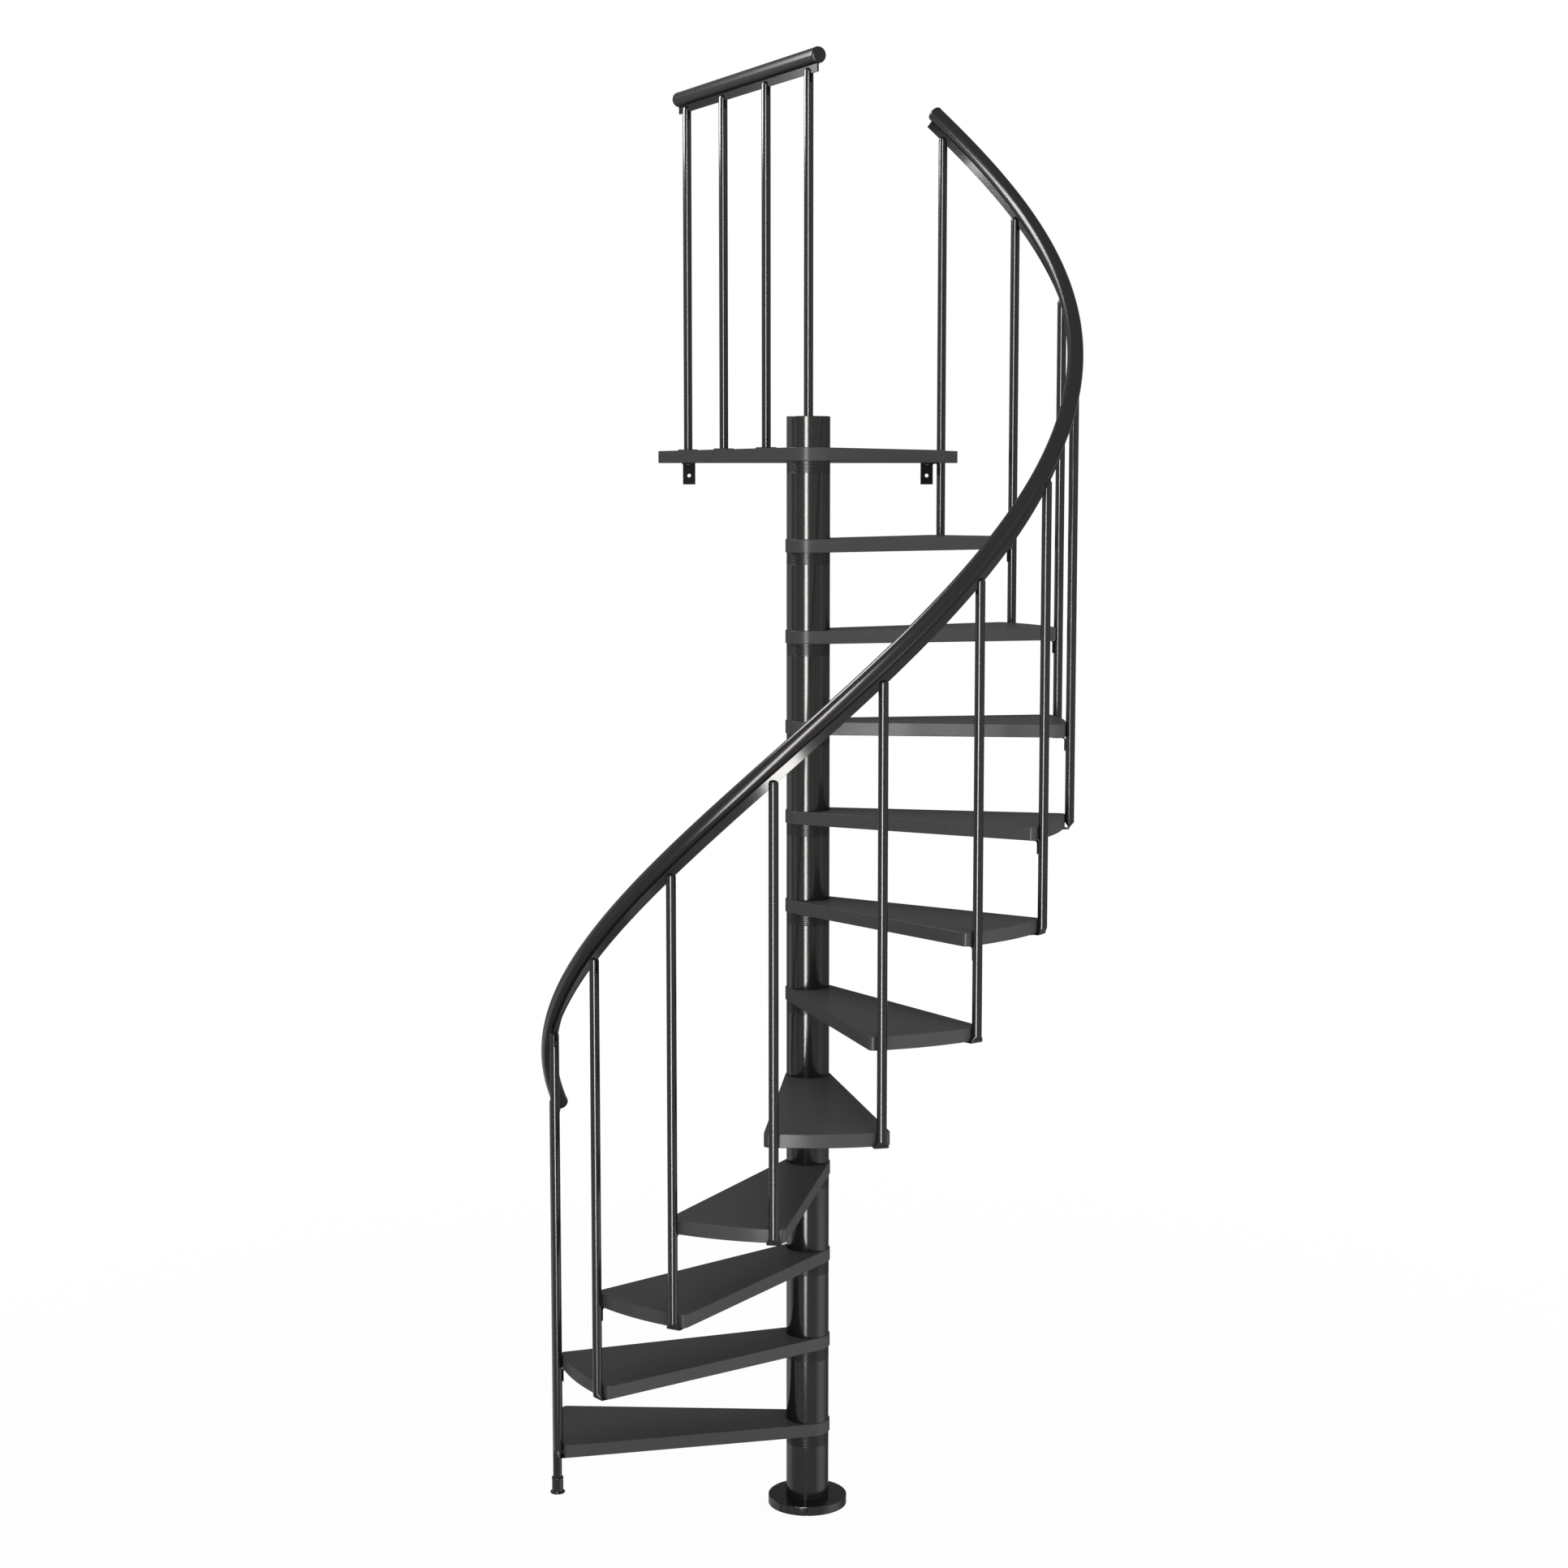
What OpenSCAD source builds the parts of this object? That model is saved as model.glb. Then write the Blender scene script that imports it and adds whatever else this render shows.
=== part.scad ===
// Spiral staircase on a central column: wedge treads threaded on a post with sleeves and spacer
// rings, a landing platform, slotted balusters and a helical handrail with a flat bar below it.
// The origin is on the column's axis at floor level, and the stair climbs counterclockwise.

/* [Column] */
// Outside diameter of the column's sleeves, spacer rings and cap
column_d = 112; // [96:1:140]
// Wall of the sleeves and of the cap
sleeve_wall = 2; // [1:0.5:4]
// Outside diameter of the inner post that carries the stack
post_d = 76; // [50:1:84]
// Wall of the inner post
post_wall = 3.5; // [2:0.5:8]
// Height of the column's cap above the platform
cap_h = 79; // [40:1:160]
// Thickness of the cap's lid
cap_lid_t = 4; // [2:0.5:8]
// Thickness of one spacer ring
ring_t = 5; // [3:0.5:8]
// Spacer rings in the stack under each tread
ring_count = 6; // [2:1:8]
// Chamfer on the outer edges of a spacer ring
ring_chamfer = 0.8; // [0.3:0.1:1.4]

/* [Base] */
// Outside diameter of the split cover round the column's foot
cover_d = 208; // [180:1:260]
// Height of the split cover
cover_h = 24; // [18:1:40]
// Wall of the split cover
cover_wall = 3; // [2:0.5:5]
// Rounding of the cover's top edge
cover_edge = 2.5; // [1:0.5:5]
// Slit between the two halves of the cover
cover_slit = 2; // [0.5:0.5:4]
// Thickness of the base plate under the cover
plate_t = 8; // [5:1:12]
// Bolt circle of the base plate
plate_bolt_circle = 156; // [146:1:164]
// Diameter of the base plate's bolt holes
plate_hole_d = 11; // [7:0.5:14]
// Bolt holes in the base plate
plate_hole_count = 4; // [3:1:6]

/* [Steps] */
// Treads between the floor and the platform
tread_count = 11; // [6:1:13]
// Height from one tread to the next
rise = 233; // [190:1:250]
// Turn from one tread to the next
step_angle = 22; // [19:0.5:26]
// Thickness of the treads and of the platform
tread_t = 34; // [24:1:50]
// Radius of the tread's boss round the column
hub_r = 59; // [57:0.5:72]
// Angle of each side of a tread from its middle line
tread_half_angle = 8.2; // [7:0.1:11]
// Rounding of the tread's outer corners
tread_corner = 13; // [4:1:24]

/* [Platform] */
// Angle of each side of the platform from its middle line
platform_half_angle = 26; // [22:1:34]
// Distance from the column's axis to the platform's far edge
platform_l = 737; // [600:1:900]

/* [Balusters] */
// Diameter of the balusters
baluster_d = 24; // [16:1:32]
// Radius of the circle that the balusters stand on
baluster_circle_r = 676; // [560:1:800]
// Direction of the first baluster, which stands on the floor
first_baluster_angle = 175; // [160:1:190]
// Height of a baluster's top above the tread next to it
guard_h = 850; // [780:1:950]
// Rounding of a baluster's top edge, as a share of its radius
baluster_dome_share = 0.75; // [0.3:0.05:0.95]
// Width of the flattened foot of a baluster
foot_w = 36; // [28:1:42]
// Thickness of the flattened foot
foot_t = 3; // [2:0.5:5]
// Length of the round-to-flat taper above the tread's underside
foot_taper = 15; // [8:1:24]
// Length of the foot's tab under the tread
foot_tab = 38; // [24:1:60]

/* [Floor foot] */
// Outside diameter of the sleeve round the first baluster's lower end
floor_foot_d = 31; // [28:0.5:40]
// Height of that sleeve
floor_foot_h = 44; // [30:1:80]
// Diameter of the sleeve's lip on the floor
floor_lip_d = 40; // [34:1:56]
// Height of the lip
floor_lip_h = 8; // [4:1:14]

/* [Handrail] */
// Diameter of the handrails
rail_d = 40; // [34:1:50]
// Gap between a baluster's top edge and the handrail where they come closest
rail_clear = 2; // [1:0.5:8]
// Rounding of the handrails' end edges
rail_edge = 8; // [2:0.5:8]
// Thickness of the flat bar under the handrails
bar_t = 5; // [4:0.5:8]
// Depth of the flat bar below the handrail
bar_drop = 20; // [14:1:26]
// Depth of the groove that takes the flat bar's upper edge
groove_depth = 9; // [6:0.5:13]
// Depth of a baluster's slot below the lowest part of the flat bar
slot_extra = 12; // [2:0.5:20]
// Length of the handrail past the first baluster
rail_lower_over = 106; // [30:1:140]
// Length of the handrail past the last baluster
rail_upper_over = 41; // [30:1:120]
// Length by which the flat bar stops short of the handrail's upper end
bar_setback = 13; // [0:1:16]

/* [Landing rail] */
// Height of the landing balusters' tops above the platform
landing_h = 949; // [850:1:1100]
// Length of the landing rail past the column's axis
landing_near_over = 56; // [30:1:90]
// Length of the landing rail past its outermost baluster
landing_far_over = 53; // [30:1:90]
// Places of the landing balusters from the column outwards, as shares of the platform's length
landing_shares = [0, 0.343, 0.712, 1.043];
// Diameter of the rosettes under the landing balusters
rosette_d = 57; // [40:1:80]
// Height of the rosettes
rosette_h = 4; // [2:0.5:8]

/* [Brackets] */
// Thickness of the brackets that tie balusters to treads
tie_t = 3; // [2:0.5:5]
// Width of those brackets
tie_w = 16; // [12:1:22]
// Height of their upright leg
tie_h = 32; // [20:1:60]
// Length of their leg under the tread
tie_l = 34; // [20:1:60]
// Distance from the platform's far corners to the middles of the two wall brackets
wall_bracket_inset = 88.6; // [60:0.1:200]
// Width of a wall bracket
wall_bracket_w = 35; // [25:1:60]
// Height of its upright leg
wall_bracket_h = 60; // [45:1:100]
// Length of its leg under the platform
wall_bracket_l = 60; // [30:1:100]
// Thickness of a wall bracket
wall_bracket_t = 4; // [3:0.5:8]
// Diameter of the bolt hole in a wall bracket
wall_hole_d = 10; // [6:0.5:14]
// Depth of the bolt hole below the platform
wall_hole_drop = 35; // [20:1:45]

/* [Hidden] */
// Gap between a round piece and the bore or edge that it seats against
seat_gap = 0.3;
// Gap between the flat bar and the groove or slot that holds it
bar_gap = 0.5;
// Overrun of cuts past the faces that they open
overrun = 1;
// Overlap that makes a boss or a rounded corner cross the edges that it would otherwise only touch
blend = 0.02;
// Sections of the handrail from one baluster to the next
rail_sections = 6;
// Points on the round part of the handrail's section
rail_sides = 22;
// Sections in each rounded end of the handrail
rail_end_steps = 3;

round_fn = 96;
foot_fn = 32;

column_r = column_d / 2;
sleeve_bore_r = column_r - sleeve_wall;
post_r = post_d / 2;
hub_bore_r = post_r + seat_gap;
ring_stack_h = ring_t * ring_count;
sleeve_h = rise - tread_t - ring_stack_h;
platform_top = rise * (tread_count + 1);
platform_under = platform_top - tread_t;
column_top = platform_top + cap_h;
post_top = column_top - cap_lid_t - seat_gap;

cover_r = cover_d / 2;
cover_round = min(cover_edge, cover_wall);
plate_r = cover_r - cover_wall - seat_gap;

baluster_r = baluster_d / 2;
baluster_dome = baluster_r * baluster_dome_share;
tread_r = baluster_circle_r - baluster_r - seat_gap;
last_baluster = tread_count;
// The platform is the last step, with the landing in the place of the steps beside it
platform_angle = tread_angle(tread_count + 2);
landing_angle = platform_angle + platform_half_angle;
platform_half_w = platform_l * tan(platform_half_angle) + hub_r / cos(platform_half_angle);
wall_bracket_spacing = 2 * (platform_half_w - wall_bracket_inset);

rail_r = rail_d / 2;
slot_w = bar_t + 2 * bar_gap;
groove_half_w = slot_w / 2;
groove_floor = rail_r - groove_depth;
bar_low = rail_r + bar_drop;
bar_high = groove_floor + bar_gap;
// Length of the helix for each degree of turn, seen from above
arc_per_degree = baluster_circle_r * PI / 180;
rail_slope = atan(rise / (step_angle * arc_per_degree));
helix_per_degree = arc_per_degree / cos(rail_slope);
// Height of the handrail's middle line above a baluster's top
rail_lift = rail_r / cos(rail_slope) + baluster_r * tan(rail_slope) + rail_clear;
slot_depth = bar_low / cos(rail_slope) + baluster_r * tan(rail_slope) + slot_extra - rail_lift;
rail_from = first_baluster_angle - rail_lower_over / helix_per_degree;
rail_to = baluster_angle(last_baluster) + rail_upper_over / helix_per_degree;
bar_to = rail_to - bar_setback / helix_per_degree;
// Turns of the full sections between the first and the last baluster
rail_turns = [for (i = [0:last_baluster * rail_sections]) baluster_angle(i / rail_sections)];

landing_places = [for (share = landing_shares) share * platform_l];
landing_last = len(landing_places) - 1;
landing_from = landing_places[0] - landing_near_over;
landing_to = landing_places[landing_last] + landing_far_over;
landing_top = platform_top + landing_h;
landing_lift = rail_r + rail_clear;

steel_colour = "#2b2a29";
tread_colour = "#3b3b3b";
rail_colour = "#242323";

function two_digits(k) = str(k < 10 ? "0" : "", k);
function tread_name(k) = str("tread_", two_digits(k));
function baluster_name(k) = str("baluster_", two_digits(k));
function landing_baluster_name(k) = str("landing_baluster_", k + 1);

function polar(r, a) = [r * cos(a), r * sin(a)];
function baluster_angle(k) = first_baluster_angle + step_angle * k;
function tread_angle(k) = baluster_angle(k) - step_angle / 2;
function tread_top(k) = rise * k;
function tread_under(k) = tread_top(k) - tread_t;
function baluster_top(k) = tread_top(k + 1) + guard_h;

// Column

// Tube from one height to another
module tube(outer_r, inner_r, from_z, to_z) {
    translate([0, 0, from_z])
        difference() {
            cylinder(r = outer_r, h = to_z - from_z, $fn = round_fn);
            translate([0, 0, -overrun])
                cylinder(r = inner_r, h = to_z - from_z + 2 * overrun, $fn = round_fn);
        }
}

module core_post() {
    color(steel_colour) tube(post_r, post_r - post_wall, plate_t, post_top);
}

// The lowest sleeve stands on the base plate, each other one on the tread below it
module column_sleeves() {
    color(steel_colour)
        for (k = [0:tread_count])
            tube(column_r, sleeve_bore_r, k == 0 ? plate_t : tread_top(k), tread_top(k) + sleeve_h);
}

// Washer with chamfered outer edges, which leave a groove between neighbours
module spacer_ring() {
    rotate_extrude($fn = round_fn)
        polygon([
            [hub_bore_r, 0],
            [column_r - ring_chamfer, 0],
            [column_r, ring_chamfer],
            [column_r, ring_t - ring_chamfer],
            [column_r - ring_chamfer, ring_t],
            [hub_bore_r, ring_t]
        ]);
}

// Every second ring of each stack, so that the rings of one set don't touch
module spacer_rings(first) {
    color(rail_colour)
        for (k = [0:tread_count])
            for (ring = [first:2:ring_count - 1])
                translate([0, 0, tread_top(k) + sleeve_h + ring * ring_t]) spacer_ring();
}

// Closed upper end of the column, which stands on the platform
module column_cap() {
    color(steel_colour) {
        tube(column_r, sleeve_bore_r, platform_top, column_top - cap_lid_t);
        translate([0, 0, column_top - cap_lid_t]) cylinder(r = column_r, h = cap_lid_t, $fn = round_fn);
    }
}

// Base

module base_plate() {
    color(steel_colour)
        difference() {
            cylinder(r = plate_r, h = plate_t, $fn = round_fn);
            for (k = [0:plate_hole_count - 1])
                translate(concat(polar(plate_bolt_circle / 2, (k + 1 / 2) * 360 / plate_hole_count), -overrun))
                    cylinder(d = plate_hole_d, h = plate_t + 2 * overrun, $fn = round_fn);
        }
}

// Section of the cover: a skirt on the floor and a top that closes on the column
module cover_section() {
    translate([cover_r - cover_wall, 0]) square([cover_wall, cover_h - cover_round]);
    translate([column_r + seat_gap, cover_h - cover_wall])
        square([cover_r - cover_round - column_r - seat_gap, cover_wall]);
    translate([cover_r - cover_round, cover_h - cover_round])
        intersection() {
            circle(r = cover_round, $fn = round_fn);
            square(cover_round);
        }
}

// One half of the cover, on the side that side gives
module base_cover(side) {
    color(steel_colour)
        difference() {
            rotate_extrude($fn = round_fn) cover_section();
            translate([side > 0 ? -cover_d : -cover_slit / 2, -cover_d, -overrun])
                cube([cover_d + cover_slit / 2, 2 * cover_d, cover_h + 2 * overrun]);
        }
}

// Treads and platform

// Point on a side line: along it from the column's axis, and out to the given side
function side_point(along, out, angle, side) =
    along * polar(1, side * angle) + out * polar(1, side * (angle + 90));

// Outline of a board's boss round the column
module boss_outline() {
    circle(r = hub_r + blend, $fn = round_fn);
}

// Outline of a tread about the +X axis, without its boss: straight sides that touch the boss, and an
// outer arc whose corners are rounded by circles that touch the arc and the sides
module tread_outline() {
    corner_along = sqrt(pow(tread_r - tread_corner, 2) - pow(hub_r - tread_corner, 2));
    corners = [for (side = [1, -1])
        side_point(corner_along, hub_r - tread_corner, tread_half_angle, side)];
    ends = [for (side = [1, -1]) side_point(corner_along, hub_r, tread_half_angle, side)];
    roots = [for (side = [1, -1]) side_point(0, hub_r, tread_half_angle, side)];
    arc_half_angle = atan2(corners[0][1], corners[0][0]);
    polygon([roots[0], roots[1], ends[1], corners[1], corners[0], ends[0]]);
    for (corner = corners)
        translate(corner) circle(r = tread_corner + blend, $fn = round_fn);
    intersection() {
        circle(r = tread_r, $fn = round_fn);
        polygon([
            [0, 0],
            polar(tread_r / cos(arc_half_angle) + overrun, -arc_half_angle),
            polar(tread_r / cos(arc_half_angle) + overrun, arc_half_angle)
        ]);
    }
}

// Hole for the post through a board of the treads' thickness
module post_hole() {
    translate([0, 0, -overrun]) cylinder(r = hub_bore_r, h = tread_t + 2 * overrun, $fn = round_fn);
}

module tread(k) {
    color(tread_colour)
        translate([0, 0, tread_under(k)])
            rotate(tread_angle(k))
                difference() {
                    linear_extrude(tread_t) {
                        boss_outline();
                        tread_outline();
                    }
                    post_hole();
                }
}

// Outline of the landing about the +X axis, without its boss: sides that touch the boss, and a straight
// far edge. A side that is wide enough to reach the last baluster has a hole for it.
module landing_outline() {
    roots = [for (side = [1, -1]) side_point(0, hub_r, platform_half_angle, side)];
    corner_along = (platform_l + hub_r * sin(platform_half_angle)) / cos(platform_half_angle);
    ends = [for (side = [1, -1]) side_point(corner_along, hub_r, platform_half_angle, side)];
    difference() {
        polygon([roots[0], roots[1], ends[1], ends[0]]);
        translate(polar(baluster_circle_r, baluster_angle(last_baluster) - platform_angle))
            circle(r = baluster_r + seat_gap, $fn = round_fn);
    }
}

// The platform is one board: the last step, which has a tread's outline, and the landing behind it
module platform() {
    color(tread_colour)
        translate([0, 0, platform_under])
            rotate(platform_angle)
                difference() {
                    linear_extrude(tread_t) {
                        boss_outline();
                        rotate(tread_angle(tread_count + 1) - platform_angle) tread_outline();
                        landing_outline();
                    }
                    post_hole();
                }
}

// Balusters

// Round bar along +Z with a rounded upper edge, and a rounded lower edge where asked
module rounded_rod(r, length, top_edge, low_edge) {
    rotate_extrude($fn = round_fn)
        intersection() {
            square([r, length]);
            union() {
                square([r - max(top_edge, low_edge), length]);
                translate([0, low_edge]) square([r, length - low_edge - top_edge]);
                translate([r - top_edge, length - top_edge]) circle(r = top_edge, $fn = round_fn);
                if (low_edge > 0)
                    translate([r - low_edge, low_edge]) circle(r = low_edge, $fn = round_fn);
            }
        }
}

// Rod with a slot across its top, along +Y, for the flat bar
module slotted_rod(from_z, to_z) {
    difference() {
        translate([0, 0, from_z]) rounded_rod(baluster_r, to_z - from_z, baluster_dome, 0);
        translate([-slot_w / 2, -baluster_d, to_z - slot_depth])
            cube([slot_w, 2 * baluster_d, slot_depth + overrun]);
    }
}

// Lower end of a baluster: the round bar is pressed flat, and the flat end turns in under the tread
module flattened_foot(under_z) {
    hull() {
        translate([0, 0, under_z + foot_taper]) cylinder(r = baluster_r, h = foot_t, $fn = foot_fn);
        translate([-foot_t / 2, -foot_w / 2, under_z - foot_t]) cube([foot_t, foot_w, foot_t]);
    }
    translate([-foot_tab, -foot_w / 2, under_z - foot_t]) cube([foot_tab, foot_w, foot_t]);
}

// The first baluster stands in the floor foot, each other one is screwed under its own tread
module baluster(k) {
    color(steel_colour)
        rotate(baluster_angle(k))
            translate([baluster_circle_r, 0, 0])
                if (k == 0) {
                    slotted_rod(floor_lip_h, baluster_top(k));
                } else {
                    slotted_rod(tread_under(k) + foot_taper, baluster_top(k));
                    flattened_foot(tread_under(k));
                }
}

module landing_baluster(k) {
    color(steel_colour)
        rotate(landing_angle)
            translate([landing_places[k], 0, 0])
                rotate(90)
                    slotted_rod(k == 0 ? column_top : platform_top, landing_top);
}

// Cup under the first baluster, with a wider lip on the floor
module floor_foot() {
    color(rail_colour)
        rotate(baluster_angle(0))
            translate([baluster_circle_r, 0, 0])
                rotate_extrude($fn = round_fn)
                    polygon([
                        [0, 0],
                        [floor_lip_d / 2, 0],
                        [floor_lip_d / 2, floor_lip_h / 2],
                        [floor_foot_d / 2, floor_lip_h],
                        [floor_foot_d / 2, floor_foot_h],
                        [baluster_r + seat_gap, floor_foot_h],
                        [baluster_r + seat_gap, floor_lip_h],
                        [0, floor_lip_h]
                    ]);
}

// Thin collars on the platform; the innermost landing baluster stands on the cap without one
module landing_rosettes() {
    color(rail_colour)
        rotate(landing_angle)
            for (k = [1:landing_last])
                translate([landing_places[k], 0, platform_top])
                    rotate_extrude($fn = round_fn)
                        polygon([
                            [baluster_r + seat_gap, 0],
                            [rosette_d / 2, 0],
                            [rosette_d / 2, rosette_h / 2],
                            [rosette_d / 2 - rosette_h / 2, rosette_h],
                            [baluster_r + seat_gap, rosette_h]
                        ]);
}

// Brackets

// Angle bracket on a baluster's inner side, under the front corner of the step above its own
module step_bracket(k) {
    rotate(baluster_angle(k))
        translate([tread_r, -tie_w / 2, tread_under(k + 1)]) {
            translate([-tie_t, 0, -tie_h]) cube([tie_t, tie_w, tie_h]);
            translate([-tie_l, 0, -tie_t]) cube([tie_l, tie_w, tie_t]);
        }
}

module tread_brackets() {
    color(steel_colour)
        for (k = [0:tread_count - 1])
            step_bracket(k);
}

// The last baluster's bracket, under the platform
module platform_tie() {
    color(steel_colour) step_bracket(last_baluster);
}

// Angle brackets under the platform's far edge, with a bolt hole through each upright leg
module wall_brackets() {
    color(steel_colour)
        rotate(platform_angle)
            for (side = [1, -1])
                translate([platform_l, side * wall_bracket_spacing / 2, platform_under])
                    difference() {
                        union() {
                            translate([-wall_bracket_t, -wall_bracket_w / 2, -wall_bracket_h])
                                cube([wall_bracket_t, wall_bracket_w, wall_bracket_h]);
                            translate([-wall_bracket_l, -wall_bracket_w / 2, -wall_bracket_t])
                                cube([wall_bracket_l, wall_bracket_w, wall_bracket_t]);
                        }
                        translate([-wall_bracket_t - overrun, 0, -wall_hole_drop])
                            rotate([0, 90, 0])
                                cylinder(d = wall_hole_d, h = wall_bracket_t + 2 * overrun, $fn = round_fn);
                    }
}

// Handrails

// Section of the grooved handrail for a given radius: a round with a groove open downwards
function rail_section(r) =
    let (mouth = asin(groove_half_w / r))
    concat(
        [[-groove_half_w, -groove_floor], [groove_half_w, -groove_floor]],
        [for (i = [0:rail_sides - 1])
            polar(r, -90 + mouth + (360 - 2 * mouth) * i / (rail_sides - 1))]
    );

bar_section = [
    [-bar_t / 2, -bar_low],
    [bar_t / 2, -bar_low],
    [bar_t / 2, -bar_high],
    [-bar_t / 2, -bar_high]
];

// Point of a section carried to a turn of the helix: out from the column, up across the slope,
// and along the slope
function on_helix(p, angle, along) =
    let (
        height = baluster_top(0) + rail_lift + rise * (angle - first_baluster_angle) / step_angle,
        out = [cos(angle), sin(angle), 0],
        up = [sin(angle) * sin(rail_slope), -cos(angle) * sin(rail_slope), cos(rail_slope)],
        ahead = [-sin(angle) * cos(rail_slope), cos(angle) * cos(rail_slope), sin(rail_slope)]
    )
    [0, 0, height] + (baluster_circle_r + p[0]) * out + p[1] * up + along * ahead;

// Solid through a list of rings with the same number of points
module skin(rings) {
    sides = len(rings[0]);
    last = len(rings) - 1;
    polyhedron(
        points = [for (ring = rings, p = ring) p],
        faces = concat(
            [[for (i = [0:sides - 1]) i]],
            [for (j = [0:last - 1], i = [0:sides - 1])
                [j * sides + i, (j + 1) * sides + i, (j + 1) * sides + (i + 1) % sides]],
            [for (j = [0:last - 1], i = [0:sides - 1])
                [j * sides + i, (j + 1) * sides + (i + 1) % sides, j * sides + (i + 1) % sides]],
            [[for (i = [sides - 1:-1:0]) last * sides + i]]
        )
    );
}

// Helical rail: full sections along the turn, and sections that shrink round each end's edge
module handrail() {
    ring_at = function(angle, lean, direction)
        [for (p = rail_section(rail_r - rail_edge * (1 - cos(lean))))
            on_helix(p, angle, direction * rail_edge * (sin(lean) - 1))];
    lower = [for (i = [rail_end_steps:-1:1]) ring_at(rail_from, 90 * i / rail_end_steps, -1)];
    upper = [for (i = [1:rail_end_steps]) ring_at(rail_to, 90 * i / rail_end_steps, 1)];
    inner_from = rail_from + rail_edge / helix_per_degree;
    inner_to = rail_to - rail_edge / helix_per_degree;
    middle = [for (angle = concat(inner_from, rail_turns, inner_to))
        [for (p = rail_section(rail_r)) on_helix(p, angle, 0)]];
    color(rail_colour) skin(concat(lower, middle, upper));
}

module handrail_bar() {
    color(steel_colour)
        skin([for (angle = concat(rail_from, rail_turns, bar_to))
            [for (p = bar_section) on_helix(p, angle, 0)]]);
}

// Places a child that runs along +X on the landing rail's line, at the rail's middle height
module along_landing() {
    translate([0, 0, landing_top + landing_lift]) rotate(landing_angle) children();
}

module landing_rail() {
    length = landing_to - landing_from;
    color(rail_colour)
        along_landing()
            difference() {
                translate([landing_from, 0, 0])
                    rotate([0, 90, 0]) rounded_rod(rail_r, length, rail_edge, rail_edge);
                translate([landing_from - overrun, -groove_half_w, -rail_r - overrun])
                    cube([length + 2 * overrun, slot_w, groove_depth + overrun]);
            }
}

module landing_bar() {
    color(steel_colour)
        along_landing()
            translate([landing_from, -bar_t / 2, -bar_low])
                cube([landing_to - landing_from, bar_t, bar_low - bar_high]);
}

base_plate();
base_cover(-1);  // base_cover_left
base_cover(1);  // base_cover_right
core_post();
column_sleeves();
spacer_rings(0);  // spacer_rings_odd
spacer_rings(1);  // spacer_rings_even
column_cap();
for (k = [1:tread_count])
    tread(k);
platform();
floor_foot();
for (k = [0:last_baluster])
    baluster(k);
for (k = [0:landing_last])
    landing_baluster(k);
landing_rosettes();
tread_brackets();
platform_tie();
wall_brackets();
handrail();
handrail_bar();
landing_rail();
landing_bar();
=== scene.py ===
"""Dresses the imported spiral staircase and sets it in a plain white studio.

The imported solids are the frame. The classes below rebuild the pieces that need finer surfaces than the solids have,
such as the grooved handrail, the slotted balusters with their pressed feet and the boards with their eased edges, in
metres and in the same frame. The other solids keep their shape and get a finish.
"""

import logging
import math
from collections.abc import Sequence
from dataclasses import dataclass, field
from enum import Enum

import bpy
import numpy as np
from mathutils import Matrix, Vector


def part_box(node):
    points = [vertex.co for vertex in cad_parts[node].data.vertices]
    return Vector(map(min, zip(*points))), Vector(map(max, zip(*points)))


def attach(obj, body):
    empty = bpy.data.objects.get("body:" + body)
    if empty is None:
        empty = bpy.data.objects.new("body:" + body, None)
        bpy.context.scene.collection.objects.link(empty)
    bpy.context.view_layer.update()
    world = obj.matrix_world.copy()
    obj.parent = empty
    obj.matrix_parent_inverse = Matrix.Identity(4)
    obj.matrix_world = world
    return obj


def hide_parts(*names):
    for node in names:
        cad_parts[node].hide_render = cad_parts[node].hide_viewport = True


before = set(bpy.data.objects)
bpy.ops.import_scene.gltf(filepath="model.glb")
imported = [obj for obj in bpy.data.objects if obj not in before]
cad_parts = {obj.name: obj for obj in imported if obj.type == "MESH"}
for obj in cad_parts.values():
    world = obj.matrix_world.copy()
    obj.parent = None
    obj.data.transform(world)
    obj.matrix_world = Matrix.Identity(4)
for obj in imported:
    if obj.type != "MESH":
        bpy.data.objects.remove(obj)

Array = np.ndarray
Number = float | Array
Colour = tuple[float, float, float]

LOG = logging.getLogger("staircase")
BODY = "root"
GRAIN_GROUP = "surface_grain"
MM = 0.001
WHITE = (1.0, 1.0, 1.0, 1.0)
SMOOTH_TO, BEVEL_FROM, SPLIT_FROM = (math.radians(angle) for angle in (42, 40, 35))
WELD_GAP = 1e-5
EASE_POINTS = 4


class Slot(Enum):
    """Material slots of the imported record."""

    STEEL = "black_steel"
    BOARD = "tread_board"
    RAIL = "handrail_plastic"
    PLASTIC = "black_plastic"


def linked(name: str, data: bpy.types.ID) -> bpy.types.Object:
    """Adds an object that shows a mesh, lamp or camera to the scene.

    Args:
        name: Name of the object.
        data: What it shows.

    Returns:
        The object.
    """
    made = bpy.data.objects.new(name, data)
    bpy.context.scene.collection.objects.link(made)
    return made


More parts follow.
